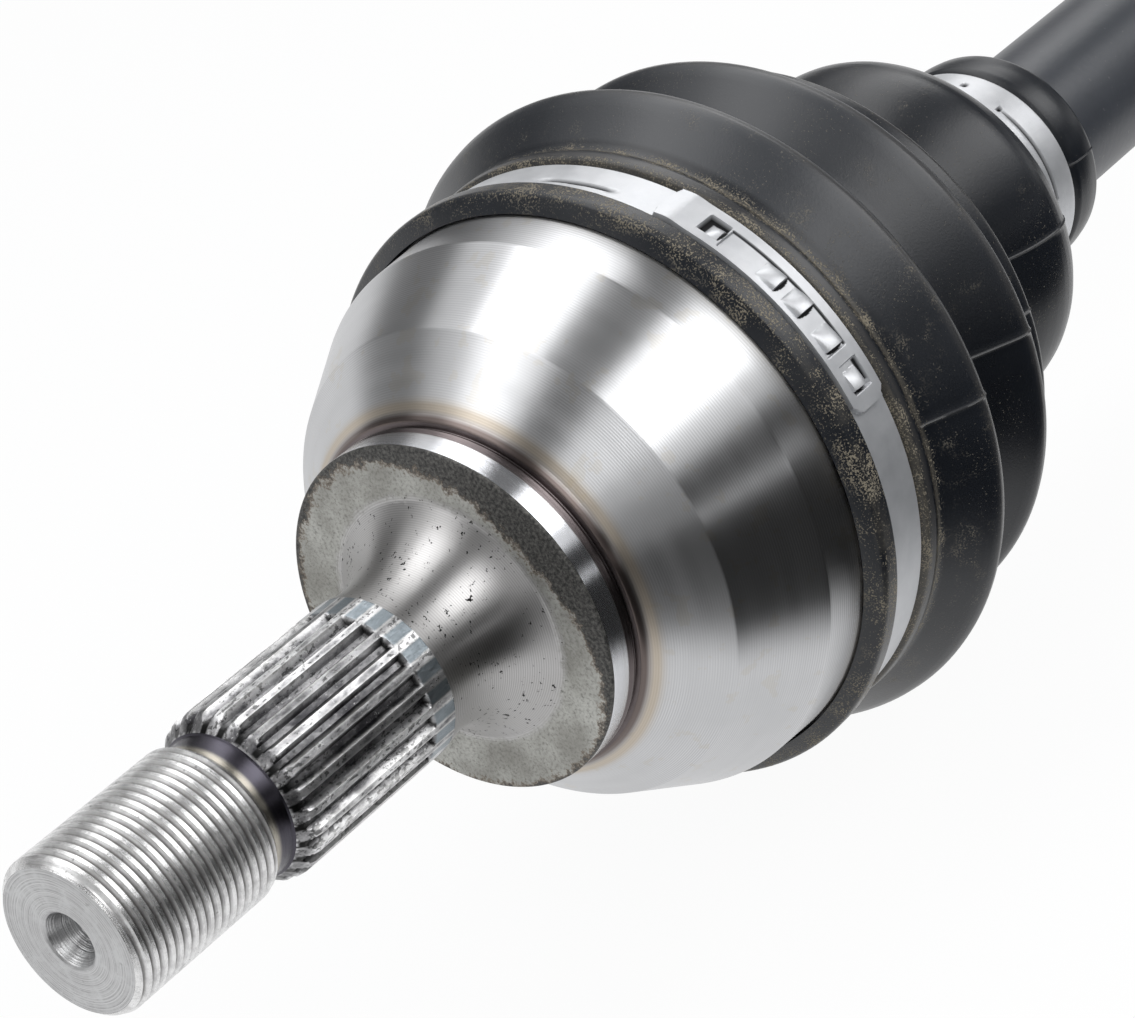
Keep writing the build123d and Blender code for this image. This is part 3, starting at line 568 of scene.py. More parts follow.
def track_radius(x, turns):
    """Distance from the axis to the far side of the nearest ball track, found by halving an interval."""
    off = (np.abs((turns * BALL_COUNT) % 1 - 0.5)) * 2 * np.pi / BALL_COUNT
    x, off = np.broadcast_arrays(x - BALL_X - TRACK_OFFSET, off)
    inside = lambda r: (np.hypot(x, r * np.cos(off)) - TRACK_RING_R) ** 2 + (r * np.sin(off)) ** 2 - TRACK_R ** 2
    tries = np.linspace(1, 42, 83)[:, None, None]
    low = tries[np.argmin(inside(tries), axis=0), 0, 0]
    high = np.full(low.shape, 48.0)
    reached = inside(low) < 0
    for _ in range(24):
        middle = (low + high) / 2
        within = inside(middle) < 0
        low, high = np.where(within, middle, low), np.where(within, high, middle)
    return np.where(reached, low, 0)


outside = rounded([(BELL_START, 28.0, 0), (BELL_START, 28.2, 0.2), (6.6, 28.55, 0.2), (7.1, 28.9, 0.3),
                   (8.1, 30.2, 0.3), (14.6, 37.53, 0.1), (15.1, 38.1, 0.2), (15.7, 38.41, 0.1), (27.7, 44.59, 0.1),
                   (28.3, 44.9, 0.2), (28.9, 44.93, 0.1), (38.8, BELL_R, 0.3), (38.8, 43.5, 0.2),
                   (BELL_MOUTH - 1, 43.5, 0.2), (BELL_MOUTH, 42.5, 0)])
outside = spaced(outside, 1.0)
depth = np.linspace(0, 1, 60)[:, None]
x = BELL_MOUTH + (CAVITY_BACK - BELL_MOUTH) * depth
ball_part = CAVITY_R ** 2 - (np.minimum(x, MOUTH_FROM) - BALL_X) ** 2
cavity = np.sqrt(np.maximum(ball_part, CAVITY_BACK_R ** 2)) + np.maximum(x - MOUTH_FROM, 0)
inner_r = np.maximum(cavity, np.where(x > TRACKS_FROM, track_radius(x, turns), 0))
points = np.concatenate([pole(BELL_START, turns), turned_rings(outside, turns), rings(x, inner_r, turns),
                         pole(CAVITY_BACK, turns)])
x = points[..., 0]
tint = 0.6 * bump(x, 7.7, 0.6)
burnt = clipped((7.5 - x) / 0.8)
low_side = clipped(0.35 + 0.65 * np.cos(2 * np.pi * turns - math.radians(190)))
dust = clipped((x - 32.5) / 5.5) ** 2 * (x < 38.9) * low_side
bell = make_piece("joint_bell", points, [bell_steel], masks={"tint": tint, "burnt": burnt, "dust": dust})
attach(bell, "outer_housing")
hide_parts("outer_housing")

# Ball joint's inner parts: six polished balls in a ground cage, on a race that is splined to
# the bar and held by a snap ring. Grease keeps them bright; the cage and race are hardened.
ball_steel, tree, shader, place = new_material("polished_ball_steel", Metallic=1.0)
haze = noise_of(tree, place, 500.0, 2.0)
color = blend_of(tree, haze, (0.66, 0.66, 0.68), (0.78, 0.78, 0.79))
finish_surface(tree, shader, color, plus(tree, 0.05, times(tree, haze, 0.08)))

ground_steel, tree, shader, place = new_material("hardened_ground_steel", Metallic=1.0)
lines = tool_lines(tree, place, 4000.0, 0.0003)
cloud = noise_of(tree, place, 150.0, 3.0)
color = blend_of(tree, cloud, (0.34, 0.34, 0.36), (0.52, 0.52, 0.53))
color = coated(tree, color, (0.62, 0.61, 0.58), lines["Fine"], 0.3)
finish_surface(tree, shader, color, plus(tree, 0.2, times(tree, cloud, 0.2)), lines["Fine"], 0.00002)

spring_steel, tree, shader, place = new_material("blackened_spring_steel", Metallic=1.0)
cloud = noise_of(tree, place, 400.0, 4.0)
color = blend_of(tree, cloud, (0.09, 0.09, 0.1), (0.26, 0.25, 0.25))
finish_surface(tree, shader, color, plus(tree, 0.3, times(tree, cloud, 0.2)), cloud, 0.00002)

inner_finishes = (
    (ball_steel, ("outer_ball", "roller_needles")),
    (ground_steel, ("outer_cage", "outer_inner_race", "tripod_spider", "tripod_roller", "roller_washers")),
    (spring_steel, ("race_snap_ring", "spider_snap_ring", "trunnion_clips", "gearbox_snap_ring")))
for name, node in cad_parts.items():
    for finish, starts in inner_finishes:
        if name.startswith(starts):
            node.data.materials.clear()
            node.data.materials.append(finish)

# Outer boot: black moulded rubber bellows full of grease. Its lip laps over the bell, its collar
# carries a clamp, and two full folds, a ridge, a deep valley and a small last fold lead to the
# bar. Sandy dust clings to lip, grooves and creases, and the upper side of the folds is painted
# lighter as a painted sheen from the lamps above.
BOOT_DROP = 3.6
SEAM_WIDTH = 0.0007         # of the two mould lines, as a share of a turn
SEAMS_FROM = 53.0

boot_rubber, tree, shader, place = new_material("boot_rubber", Specular_IOR_Level=0.5)
dust_at = mask_of(tree, "dust")
worn = mask_of(tree, "worn")
grain = noise_of(tree, place, 2600.0, 3.0, 0.6)
cloud = noise_of(tree, place, 55.0, 4.0, 0.6)
patch = noise_of(tree, place, 160.0, 4.0, 0.65)
sand = specks_of(tree, place, 3600.0, 0.44, 260.0)
stray = specks_of(tree, place, 3600.0, 0.21, 120.0)
patchy = plus(tree, dust_at, minus(tree, patch, 0.5))
thick = step_of(tree, patchy, 0.45, 1.0)
dust = times(tree, sand, step_of(tree, patchy, 0.1, 0.5))
dust = math_of(tree, "MAXIMUM", dust, times(tree, thick, times(tree, grain, 0.45)))
dust = math_of(tree, "MAXIMUM", dust, times(tree, stray, 0.5), clamp=True)
rubber = blend_of(tree, cloud, (0.003, 0.004, 0.0065), (0.009, 0.0115, 0.0165))
# Painted sheen: the upper front of the folds is painted lighter where the lamps' light falls.
rubber = coated(tree, rubber, (0.055, 0.058, 0.064), mask_of(tree, "top_sheen"), 0.6)
rubber = coated(tree, rubber, (0.07, 0.065, 0.06), worn, 0.4)
color = blend_of(tree, times(tree, dust, 0.8), rubber, (0.25, 0.215, 0.155))
roughness = plus(tree, 0.22, times(tree, cloud, 0.16))
roughness = plus(tree, roughness, times(tree, dust, 0.35), clamp=True)
height = plus(tree, times(tree, grain, 0.4), times(tree, dust, 0.6))
finish_surface(tree, shader, color, roughness, height, 0.00005)


def bumps(x, centres, width):
    """Sum of smooth bumps of height 1 at those places along x."""
    return bump(x[..., None], np.array(centres), width).sum(-1)


seam_at = np.array([[0.495], [0.995]])
beside_seam = [-0.0016, -SEAM_WIDTH, 0, SEAM_WIDTH, 0.0016]
turns = np.unique(np.concatenate([even_turns(202), (seam_at + beside_seam).ravel()]))
lip = 35.6
boot_folds = [(26.4, 54.6, 4.0), (36.8, 40.5, 3.6), (47.2, 49.7, 3.4), (52.2, 43.6, 1.2), (55.6, 44.0, 0.9),
              (68.0, 24.0, 4.6), (79.0, 30.8, 3.2), (88.0, 32.4, 5.6)]
outer = [(0, 45.7, 0.1), (1.5, 48.6, 0.8), (4.7, 48.6, 0.5), (5.0, 46.4, 0.1), (13.6, 46.4, 0.2), (14.2, 47.9, 0.5),
         (16.4, 48.2, 0.8), (17.2, 47.6, 0.5), (18.4, 47.9, 0.6), *boot_folds, (101.0, 17.6, 0.6), (111.6, 17.6, 0.2),
         (112.6, 18.9, 0.6), (115.5, 19.2, 1.4), (119.4, 18.6, 1.4), (120.1, 16.8, 0.5), (120.1, 13.6, 0)]
inner = [(0, 45.7, 0), (3.5, 45.7, 0), (3.5, 43.8, 0), (22.5, 43.8, 0),
         *[(at, r - BOOT_DROP, cut) for at, r, cut in boot_folds], (98.0, 14.0, 0), (101.0, 14.0, 0),
         (101.0, 13.6, 0), (120.1, 13.6, 0)]
outer_line = spaced(rounded(outer, 8), 1.3) + (lip, 0)
inner_line = spaced(rounded(inner, 7), 2.0) + (lip, 0)
wall = np.concatenate([outer_line, inner_line[::-1]])
x, r = wall[:, :1], wall[:, 1:]
shown = (np.arange(len(wall)) < len(outer_line))[:, None]
seam = bump(turns, seam_at, SEAM_WIDTH).sum(0) * shown * (x > SEAMS_FROM)
r_seamed = r + 0.25 * seam
past_lip = x - lip
dust_at = (1.15 * bumps(past_lip, [17.3, 14.0], 0.9) + 0.5 * bumps(past_lip, [1.5, 3.6], 1.6)
           + 0.16 * bumps(past_lip, [20.5, 30.0, 52.2], 2.4) + 0.1 * bumps(past_lip, [26.0, 40.0], 3.0)) * shown
low_side = 0.75 + 0.25 * np.cos(2 * np.pi * turns - math.radians(195))
dust_at = clipped(dust_at * low_side)
# Painted sheen on the upper front of the folds, centred 118 degrees round.
top_sheen = bump(turns * 360, 118, 34) * shown * (past_lip > 19) * (past_lip < 50)
worn = clipped(bumps(past_lip, [26.3, 47.2, 55.6, 15.2], 0.7) * shown + 0.45 * seam)
outer_boot = make_piece("outer_boot_rubber", rings(x, r_seamed, turns), [boot_rubber], closed=True,
                        masks={"dust": dust_at, "worn": worn, "top_sheen": top_sheen})
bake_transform(outer_boot)
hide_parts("outer_boot")

# Large clamp of the outer boot: a bright steel strip pulled tight round the collar. Its end
# lies under a raised plate with punched windows, in which hoods of the strip stand up.
clamp_steel, tree, shader, place = new_material("bright_clamp_steel", Metallic=0.72)
cloud = noise_of(tree, place, 260.0, 4.0, 0.6)
brushed = tool_lines(tree, place, 7000.0, 0.0004)
shade = mask_of(tree, "shade")
color = blend_of(tree, cloud, (0.47, 0.48, 0.50), (0.67, 0.675, 0.69))
color = blend_of(tree, shade, color, (0.015, 0.015, 0.017))
roughness = plus(tree, 0.33, times(tree, cloud, 0.2))
roughness = plus(tree, roughness, times(tree, shade, 0.3), clamp=True)
height = plus(tree, cloud, times(tree, brushed["Fine"], 0.2))
finish_surface(tree, shader, color, roughness, height, 0.00005)

LATCH_START = 118.6         # degrees
LATCH_SPAN = 50.4
LATCH_HALF_WIDTH = 4.0
BAND_WALL = 0.8
# Hoods: open side in degrees, half width, length, height
HOODS = ((12.2, 1.5, 2.2, 0.85), (25.0, 1.8, 3.4, 1.15), (31.0, 2.0, 3.4, 1.45), (38.6, 1.9, 3.4, 1.25),
         (46.4, 1.75, 2.9, 1.1))


def strip(start, width, inner, outer):
    """Outline across a clamp strip, its outer edges rounded."""
    end = start + width
    return spaced(rounded([(start, inner, 0), (start, outer, 0.25), (end, outer, 0.25), (end, inner, 0)], 4), 0.4)


def latch(name, middle, inner):
    """Raised plate of a hooked clamp as a height over (angle, place across the strip).

    A folded tab leads to a window with a hood in it, then to a long sunk strip beside a rail,
    with three hoods, and to a last window with a hood. Each hood rises from the tab's side and
    is open on the other.
    """
    across = np.linspace(-LATCH_HALF_WIDTH, LATCH_HALF_WIDTH, 55)[:, None]
    degrees = np.linspace(0, LATCH_SPAN, 361)
    degree = math.radians(1) * (inner + 1)
    arc = degrees * degree
    corner = np.clip(np.abs(across) - 2.2, 0, 2) * 0.9
    body = clipped((arc - 0.1 - 0.3 * corner) / 0.3) * clipped((arc[-1] - corner - arc) / 0.2)
    side = clipped((LATCH_HALF_WIDTH - np.abs(across)) / 0.25)
    tab = 0.3 * bump(degrees, 3.6, 2.4)
    height = (1.0 + tab) * body * side
    ramp = lambda value, low, high, edge: clipped((value - low) / edge) * clipped((high - value) / edge)
    between = lambda low, high: ramp(degrees, low, high, 0.25)
    beside = lambda low, high: ramp(across, low, high, 0.15)
    channel = between(12.9, 39.4) * beside(-2.9, 1.75)
    height = height + (0.72 - height) * channel
    last = between(41.6, 47.2) * beside(-2.0, 2.0)
    height = height + (0.5 - height) * last
    first = between(8.2, 12.6) * beside(-2.0, 2.0)
    height = height + (0.2 - height) * first
    shade = np.maximum(first * np.maximum(between(8.0, 9.7), beside(1.0, 2.2)),
                       last * beside(1.1, 2.1) * between(41.8, 46.2))
    shade = np.maximum(shade, between(12.7, 39.4) * beside(1.35, 1.85))
    for place, half_width, length, tall in HOODS:
        past = arc - place * degree
        run = 1 + past / length
        arch = np.sqrt(clipped(1 - ((across + 0.45) / half_width) ** 2))
        hood = tall * arch * np.sin(clipped(run) * math.pi / 2) ** 0.8 * (run <= 1)
        height = height + hood
        mouth = (run > 1) & (past < 0.55 * arch)
        shade = np.where((hood > 0.1 * tall) & (arch > 0), 0, np.where(mouth, 1.0, shade))
    turns = (LATCH_START + degrees) / 360
    top = rings(middle + across, inner + BAND_WALL + height, turns)
    underside = rings(middle + across, inner + 0.3, turns)
    points = np.concatenate([top, underside[::-1]])
    return make_piece(name, points, [clamp_steel], closed=True, masks={"shade": np.concatenate([shade, 0 * shade])})


def clamp_band(name, start, width, inner, wall=BAND_WALL, slits=()):
    """Plain strip all the way round.

    A slit is a dark opening: first and last degree, place, half width, and whether its ends are square.
    """
    line = strip(start, width, inner, inner + wall)
    turns = even_turns(360)
    x, r = line[:, :1] - start, line[:, 1:]
    shade = 0 * x * turns
    for first, last, at, half, square in slits:
        share = clipped((turns * 360 - first) / (last - first))
        lens = np.sin(math.pi * share) ** (0.12 if square else 0.6) * half
        slit = clipped((lens - np.abs(x - at)) / 0.25) * (share > 0) * (share < 1)
        shade = np.maximum(shade, slit * (r > inner + 0.5 * wall))
    points = rings(x + start, r - 0.5 * shade, turns)
    return make_piece(name, points, [clamp_steel], closed=True, masks={"shade": shade})


def dress(pieces, body, node):
    """The pieces ride on that body and stand for that CAD node."""
    for piece in pieces:
        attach(piece, body)
        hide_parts(node)


large_band = clamp_band("outer_large_clamp_band", lip + 5.3, 8.0, 46.5, slits=[(93, 111, 2.7, 0.62, False)])
large_latch = latch("outer_large_clamp_latch", lip + 9.3, 46.5)
dress([large_band, large_latch], "outer_housing", "outer_boot_large_clamp")

# Small clamps: narrow bright strips round the boots' short collars on the bar, overlapped
# and folded down, with a punched hole and a slit where the strip was drawn tight.
small_slits = [(107, 110.5, 6.0, 0.8, False), (131, 134, 4.1, 0.7, True), (133, 189, 3.9, 0.4, True)]
small_band = clamp_band("outer_small_clamp_band", lip + 101.3, 9.4, 17.7, 1.3, small_slits)
dress([small_band], "axle", "outer_boot_small_clamp")
inner_small_band = clamp_band("inner_small_clamp_band", 339.6, 8.0, 17.7, 1.3)
dress([inner_small_band], "axle", "inner_boot_small_clamp")

# Bar: solid steel, splined at both ends where the joints' inner parts sit, and slimmer next to
# them, so that it twists there and not in the splines. It is painted dark satin grey.
BAR_TEETH = 24
STOP_A, STOP_B = 56.8, 434.1          # collars that stop the race and the spider
STOP_R = 13.3
BAR_NECK_R = 12
BAR_ROOT_R = 11.1

bar_paint, tree, shader, place = new_material("bar_paint", Specular_IOR_Level=0.5)
cloud = noise_of(tree, place, 40.0, 4.0, 0.6)
peel = noise_of(tree, place, 700.0, 2.0)
rubbed = specks_of(tree, place, 900.0, 0.2, 40.0)
color = blend_of(tree, cloud, (0.024, 0.027, 0.033), (0.046, 0.050, 0.060))
color = coated(tree, color, (0.14, 0.14, 0.14), rubbed, 0.4)
finish_surface(tree, shader, color, plus(tree, 0.3, times(tree, cloud, 0.12)), peel, 0.00003)

turns = toothed_turns(BAR_TEETH)
bar_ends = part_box("axle_bar")
start, end = bar_ends[0].x / MM, bar_ends[1].x / MM
line = rounded([(start, 0, 0), (start, 10.1, 0), (start + 1, BAR_ROOT_R, 0.1), (STOP_A, BAR_ROOT_R, 0),
                (STOP_A, STOP_R, 0.3), (STOP_A + 3, STOP_R, 0.3), (STOP_A + 3, BAR_NECK_R, 0.5),
                (STOP_A + 63, BAR_NECK_R, 2), (STOP_A + 79.3, 13.27, 0), (136.3, 13.3, 0), (156.0, 13.3, 0),
                (156.1, 13.7, 0), (328.6, 13.7, 0), (328.7, 13.3, 0), (348.5, 13.3, 0), (STOP_B - 82, 13.5, 0),
                (STOP_B - 63, BAR_NECK_R, 2), (STOP_B - 3, BAR_NECK_R, 0.5), (STOP_B - 3, STOP_R, 0.3),
                (STOP_B, STOP_R, 0.3), (STOP_B, BAR_ROOT_R, 0), (end - 1, BAR_ROOT_R, 0.1), (end, 10.1, 0),
                (end, 0, 0)])
line = spaced(line, 3.0)
x, r = line[:, :1], line[:, 1:]
on_splines = ((x < STOP_A - 0.01) & (x > start + 0.5)) | ((x > STOP_B + 0.01) & (x < end - 0.5))
r_bar = r + on_splines * (r > 10.5) * TOOTH_DEPTH * tooth_height(turns, BAR_TEETH)
bar = make_piece("axle_bar_painted", rings(x, r_bar, turns), [bar_paint])
dress([bar], "axle", "axle_bar")

# Inner boot: the same black rubber, with four folds from the bar up to the tripod housing. It
# is made as two pieces that meet on one ring; the joint under it both bends and slides.
VALLEY_DROP = 2.2
inner_lip = 421.9
split_at = 386.0
inner_folds = [(19.5, 38.0, 1.6), (27.0, 43.8, 2.6), (34.0, 31.4, 2.4), (41.5, 38.8, 2.4), (48.0, 26.7, 2.4),
               (55.0, 33.4, 2.4), (61.0, 21.9, 2.4), (67.5, 27.6, 2.4)]
outer = [(0, 40.3, 0.1), (0.9, 44.0, 0.6), (2.7, 44.0, 0.5), (3.0, 42.4, 0.1), (11.6, 42.4, 0.2), (11.9, 43.9, 0.4),
         (15.8, 43.9, 0.5), *inner_folds, (74.0, 17.6, 0.6), (82.6, 17.6, 0.2), (82.9, 19.1, 0.5), (93.1, 19.1, 0.9),
         (93.1, 13.6, 0)]
inner = [(0, 40.3, 0), (16.6, 40.3, 0), *[(at, r - VALLEY_DROP, cut) for at, r, cut in inner_folds],
         (71.0, 14.0, 0), (74.0, 14.0, 0), (74.0, 13.6, 0), (93.1, 13.6, 0)]
flip = np.array([-1.0, 1.0])
outer_line = (spaced(rounded(outer, 7), 1.4) * flip + (inner_lip, 0))[::-1]
inner_line = (spaced(rounded(inner, 7), 1.8) * flip + (inner_lip, 0))[::-1]


def cut_wall(low, high):
    """Outline of the boot's wall between two places along X: its outer line, then its inner one back."""
    parts = []
    for side in (outer_line, inner_line):
        kept = side[(side[:, 0] > low + 0.01) & (side[:, 0] < high - 0.01)]
        ends = [(at, np.interp(at, side[:, 0], side[:, 1])) for at in (low, high) if side[0, 0] < at < side[-1, 0]]
        first = [end for end in ends if end[0] == low]
        last = [end for end in ends if end[0] == high]
        parts.append(np.concatenate([np.array(first).reshape(-1, 2), kept, np.array(last).reshape(-1, 2)]))
    return np.concatenate([parts[0], parts[1][::-1]])


turns = even_turns(240)
halves = (("inner_boot_bar_side", 300, split_at, ("axle", "tripod_roller_1"), (0.352, 0.3859)),
          ("inner_boot_housing_side", split_at, 450, ("tripod_roller_1", "inner_housing"), (0.3861, 0.410)))
for name, low, high, bodies, ends in halves:
    wall = cut_wall(low, high)
    x, r = wall[:, :1], wall[:, 1:]
    low_side = 0.5 + 0.5 * np.cos(2 * np.pi * turns - 3.6)
    dusty = 0.5 * clipped(bumps(inner_lip - x, [1.2, 14.0], 1.4)) * low_side
    edges = clipped(bumps(inner_lip - x, [13.0], 0.7))
    half = make_piece(name, rings(x, r, turns), [boot_rubber], closed=True, masks={"dust": dusty, "worn": edges})
    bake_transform(half)
    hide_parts("inner_boot")

inner_band = clamp_band("inner_large_clamp_band", 410.6, 8.0, 42.5)
inner_latch = latch("inner_large_clamp_latch", 414.6, 42.5)
dress([inner_band, inner_latch], "inner_housing", "inner_boot_large_clamp")

# Tripod housing: a forged can with three roller tracks inside and three shallow flutes outside,
# turned at the boot seat, the back cone and the seal journal; its splined stub enters the gearbox.
TULIP_MOUTH = 406.2
TULIP_R = 41.5
TULIP_FLOOR = 481.2
TULIP_BACK = 492.2
FLUTE_R = 27.0
FLUTE_CENTRE_R = 64.5
ROLLER_PITCH_R = 22.0
ROLLER_TRACK_R = 15.0
GEAR_STUB_START = 515.2
GEAR_SPLINE_END = 549.2
GEAR_ROOT_R = 12.7
GEAR_TEETH = 27

turned_steel, tree, shader, place = new_material("turned_housing_steel", Metallic=1.0)
lines = tool_lines(tree, place, 2600.0, 0.00004)
cloud = noise_of(tree, place, 80.0, 3.0)
color = blend_of(tree, lines["Fine"], (0.46, 0.46, 0.47), (0.62, 0.62, 0.62))
color = coated(tree, color, (0.42, 0.43, 0.44), cloud, 0.35)
roughness = plus(tree, 0.27, times(tree, lines["Broad"], 0.1))
finish_surface(tree, shader, color, roughness, lines["Fine"], 0.00001)
brush_round_axis(tree, shader, 0.85)

turns = even_turns(270)
off = np.abs((turns * 3 + 0.5) % 1 - 0.5) * 2 * np.pi / 3
flute_off = np.pi / 3 - off
reach = FLUTE_CENTRE_R * np.sin(flute_off)
flute_floor = FLUTE_CENTRE_R * np.cos(flute_off) - np.sqrt(np.maximum(FLUTE_R ** 2 - reach ** 2, 0))
flute_r = np.where(np.abs(reach) < FLUTE_R, flute_floor, 99)
track_top = np.sqrt(np.maximum(ROLLER_TRACK_R ** 2 - (ROLLER_PITCH_R * np.sin(off)) ** 2, 0))
track_r = np.where(off < math.atan2(ROLLER_TRACK_R, ROLLER_PITCH_R), ROLLER_PITCH_R * np.cos(off) + track_top,
                   ROLLER_TRACK_R / np.maximum(np.sin(off), 0.1))
can = rounded([(TULIP_MOUTH, 31.0, 0), (TULIP_MOUTH, 40.0, 0.4), (422.2, 40.0, 0), (422.2, TULIP_R, 0.3),
               (427.6, TULIP_R, 0), (428.8, TULIP_R, 0), (TULIP_FLOOR, TULIP_R, 1.0), (TULIP_BACK, 30.5, 0.6),
               (TULIP_BACK, 20.0, 0.5), (496.2, 20.0, 0.3), (496.2, 17.5, 0.2), (512.2, 17.5, 0.4),
               (512.2, 13.0, 0.2), (GEAR_STUB_START, 13.0, 0)])
can = spaced(can, 2.0)
x, r = can[:, :1], can[:, 1:]
fluted = clipped((x - 428.0) / 0.6) * (x < TULIP_BACK + 0.1)
can_r = np.where(r > 25, np.minimum(r, np.maximum(flute_r, 25) * fluted + 99 * (1 - fluted)), r)
hollow_x = np.linspace(TULIP_MOUTH, TULIP_FLOOR, 40)[:, None]
core_r = np.interp(hollow_x, [TULIP_MOUTH, TULIP_MOUTH + 18, TULIP_FLOOR], [31.0, 23.0, 23.0])
hollow_r = np.maximum(core_r, track_r)
points = np.concatenate([pole(TULIP_FLOOR, turns), rings(hollow_x[::-1], hollow_r[::-1], turns),
                         rings(x, can_r, turns), pole(GEAR_STUB_START, turns)])
can_piece = make_piece("tripod_housing_can", points, [turned_steel])

turns = toothed_turns(GEAR_TEETH)
line = rounded([(GEAR_STUB_START, 0, 0), (GEAR_STUB_START, GEAR_ROOT_R, 0), (GEAR_SPLINE_END, GEAR_ROOT_R, 0),
                (549.3, 11.2, 0), (550.9, 11.2, 0), (551.0, GEAR_ROOT_R, 0), (553.6, GEAR_ROOT_R, 0.3),
                (555.6, 10.7, 0), (555.6, 0, 0)])
line = spaced(line, 2.0)
x, r = line[:, :1], line[:, 1:]
toothed = (x > GEAR_STUB_START + 0.1) & (x < GEAR_SPLINE_END + 0.05) & (r > 12)
tip = np.clip(np.minimum(x - GEAR_STUB_START, GEAR_SPLINE_END + 0.4 - x) + 0.1, 0, TOOTH_DEPTH)
gear_r = r + toothed * tip * tooth_height(turns, GEAR_TEETH)
# The groove mask paints the roots darker than the tips as shade.
groove = toothed * clipped((GEAR_ROOT_R + TOOTH_DEPTH - gear_r) / TOOTH_DEPTH)
first_plain = int(np.argmax(line[:, 0] > GEAR_SPLINE_END + 0.05))
gear_stub = make_piece("gearbox_stub", rings(x, gear_r, turns), [spline_steel, end_steel], [first_plain],
                       masks={"groove": groove})
dress([can_piece, gear_stub], "inner_housing", "inner_housing")

# Studio: a white floor and background, a dim soft fill, and long soft lamps above and in front
# of the shaft. Dark cards that only reflections see give the turned steel its dark bands, as a
# photographer's flags do.
camera_data = bpy.data.cameras.new("camera")
camera_data.sensor_width = 36.0
camera_data.lens = 113.89
camera_data.clip_start = 0.01
camera_data.clip_end = 50
camera = bpy.data.objects.new("camera", camera_data)
bpy.context.scene.collection.objects.link(camera)
right, up, ahead = (0.575063, -0.754362, -0.316607), (0.482295, 0.0, 0.876009), (0.660828, 0.656458, -0.363826)
matrix = np.eye(4)
matrix[:3, 0], matrix[:3, 1], matrix[:3, 2] = right, up, -np.array(ahead)
matrix[:3, 3] = (-0.31425, -0.34141, 0.19075)
camera.matrix_world = Matrix(matrix.tolist())
bpy.context.scene.camera = camera


def seen_as_such(tree):
    """1 for the camera's own rays and those of reflections and glass, 0 for the rays that light things."""
    path = add(tree, "LightPath").outputs
    indirect = math_of(tree, "MAXIMUM", path["Is Glossy Ray"], path["Is Transmission Ray"])
    return math_of(tree, "MAXIMUM", path["Is Camera Ray"], indirect)


def empty_tree(owner):
    """Node tree of a material or world, cleared."""
    owner.use_nodes = True
    owner.node_tree.nodes.clear()
    return owner.node_tree


# The floor looks nearly plain white to the camera and in reflections, but takes soft shadows.
FLOOR_Z = -60.0
studio_white = bpy.data.materials.new("studio_white")
tree = empty_tree(studio_white)
lit = add(tree, "BsdfDiffuse", {"Color": (0.8, 0.8, 0.8, 1)}).outputs[0]
bright = add(tree, "Emission", {"Color": (1, 1, 1, 1), "Strength": 1.0}).outputs[0]
mixed = add(tree, "MixShader", {0: times(tree, seen_as_such(tree), 0.95), 1: lit, 2: bright}).outputs[0]
tree.links.new(mixed, add(tree, "OutputMaterial").inputs[0])
side = np.array([-4000.0, 4000.0])
floor_points = np.stack(np.broadcast_arrays(side[:, None], -side[None, :], FLOOR_Z), -1)
floor = make_piece("studio_floor", floor_points, [studio_white])
floor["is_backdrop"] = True

world = bpy.data.worlds.new("studio")
bpy.context.scene.world = world
tree = empty_tree(world)
dim = add(tree, "Background", {"Color": (0.9, 0.95, 1.0, 1), "Strength": 0.45}).outputs[0]
white = add(tree, "Background", {"Color": (1, 1, 1, 1), "Strength": 1.0}).outputs[0]
mixed = add(tree, "MixShader", {0: seen_as_such(tree), 1: dim, 2: white}).outputs[0]
tree.links.new(mixed, add(tree, "OutputWorld").inputs[0])


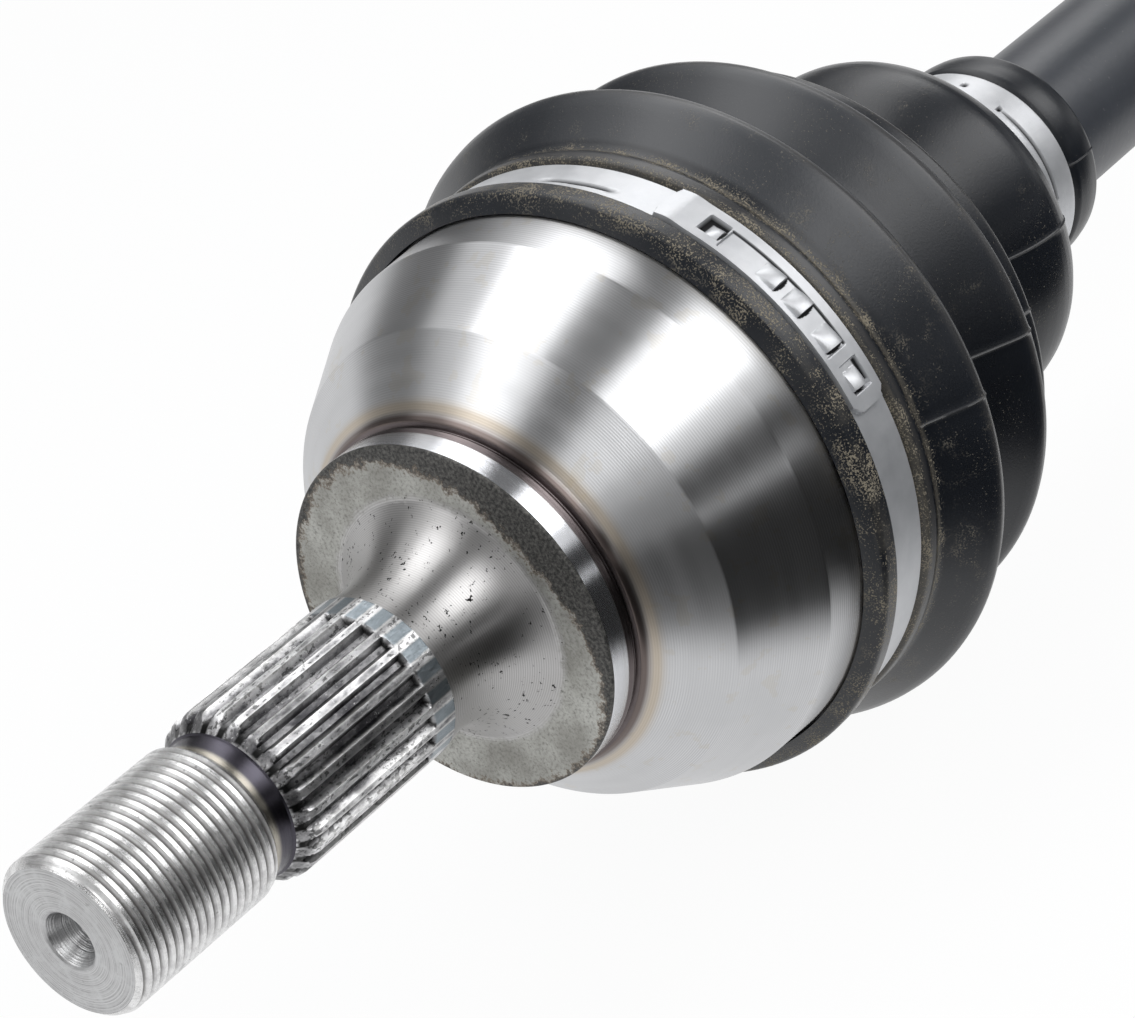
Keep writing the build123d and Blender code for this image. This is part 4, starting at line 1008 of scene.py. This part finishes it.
def dark_card(name, low, high, level, soft):
    """Card between two opposite corners that only reflections see.

    Its edges along X, or else along Y, fade out over that share of its width.
    """
    low, high = np.array(low, float), np.array(high, float)
    across = np.array([0, soft, 1 - soft, 1])[:, None, None]
    along = np.array([0.0, 1.0])[None, :, None]
    size = high - low
    lengthways = np.array([1, 0, 0]) if size[0] else np.array([0, 1, 0])
    grid = low + size * (1 - lengthways) * across + size * lengthways * along
    material = bpy.data.materials.new(name)
    tree = empty_tree(material)
    glow = add(tree, "Emission", {"Color": (1, 1, 1, 1), "Strength": level}).outputs[0]
    clear = add(tree, "BsdfTransparent").outputs[0]
    edge = step_of(tree, mask_of(tree, "fade"), 0.0, 1.0)
    shown = add(tree, "MixShader", {0: edge, 1: clear, 2: glow}).outputs[0]
    tree.links.new(shown, add(tree, "OutputMaterial").inputs[0])
    card = make_piece(name, grid, [material], masks={"fade": np.array([0, 1, 1, 0])[:, None]})
    card.visible_camera = card.visible_diffuse = card.visible_shadow = False
    card.visible_transmission = card.visible_volume_scatter = False
    card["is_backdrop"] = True


def strip_lamp(name, angle, width, power):
    """Long soft lamp 1 m from the shaft and parallel to it, at that angle about X from +Y towards +Z."""
    data = bpy.data.lights.new(name, "AREA")
    data.shape = "RECTANGLE"
    data.size, data.size_y = 2.6, width
    data.energy = power
    lamp = bpy.data.objects.new(name, data)
    bpy.context.scene.collection.objects.link(lamp)
    turn = math.radians(angle)
    lamp.location = (0.3, math.cos(turn), math.sin(turn))
    inward = Vector((0.3, 0, 0)) - lamp.location
    lamp.rotation_euler = inward.to_track_quat("-Z", "Y").to_euler()


strip_lamp("lamp_high_back", 82, 0.54, 8.8)
strip_lamp("lamp_front", 136, 0.50, 8.5)
dark_card("card_front_floor", (-1500, -52, -59.0), (2000, -1150, -59.0), 0.03, 0.03)
dark_card("card_front_wall", (-1500, -1100, -60.0), (2000, -1100, 420.0), 0.04, 0.3)
dark_card("card_above", (-1500, 160, 1050.0), (2000, -900, 1050.0), 0.22, 0.2)
dark_card("card_back", (-1500, 1000, 250.0), (2000, 900, 1100.0), 0.2, 0.25)
dark_card("card_hub_end", (-1400, -1050, 80.0), (-1400, 350, 1150.0), 0.06, 0.2)
dark_card("card_gearbox_end", (1900, -1050, 80.0), (1900, 500, 1150.0), 0.1, 0.2)

bpy.context.scene.view_settings.view_transform = "Standard"

low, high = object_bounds()
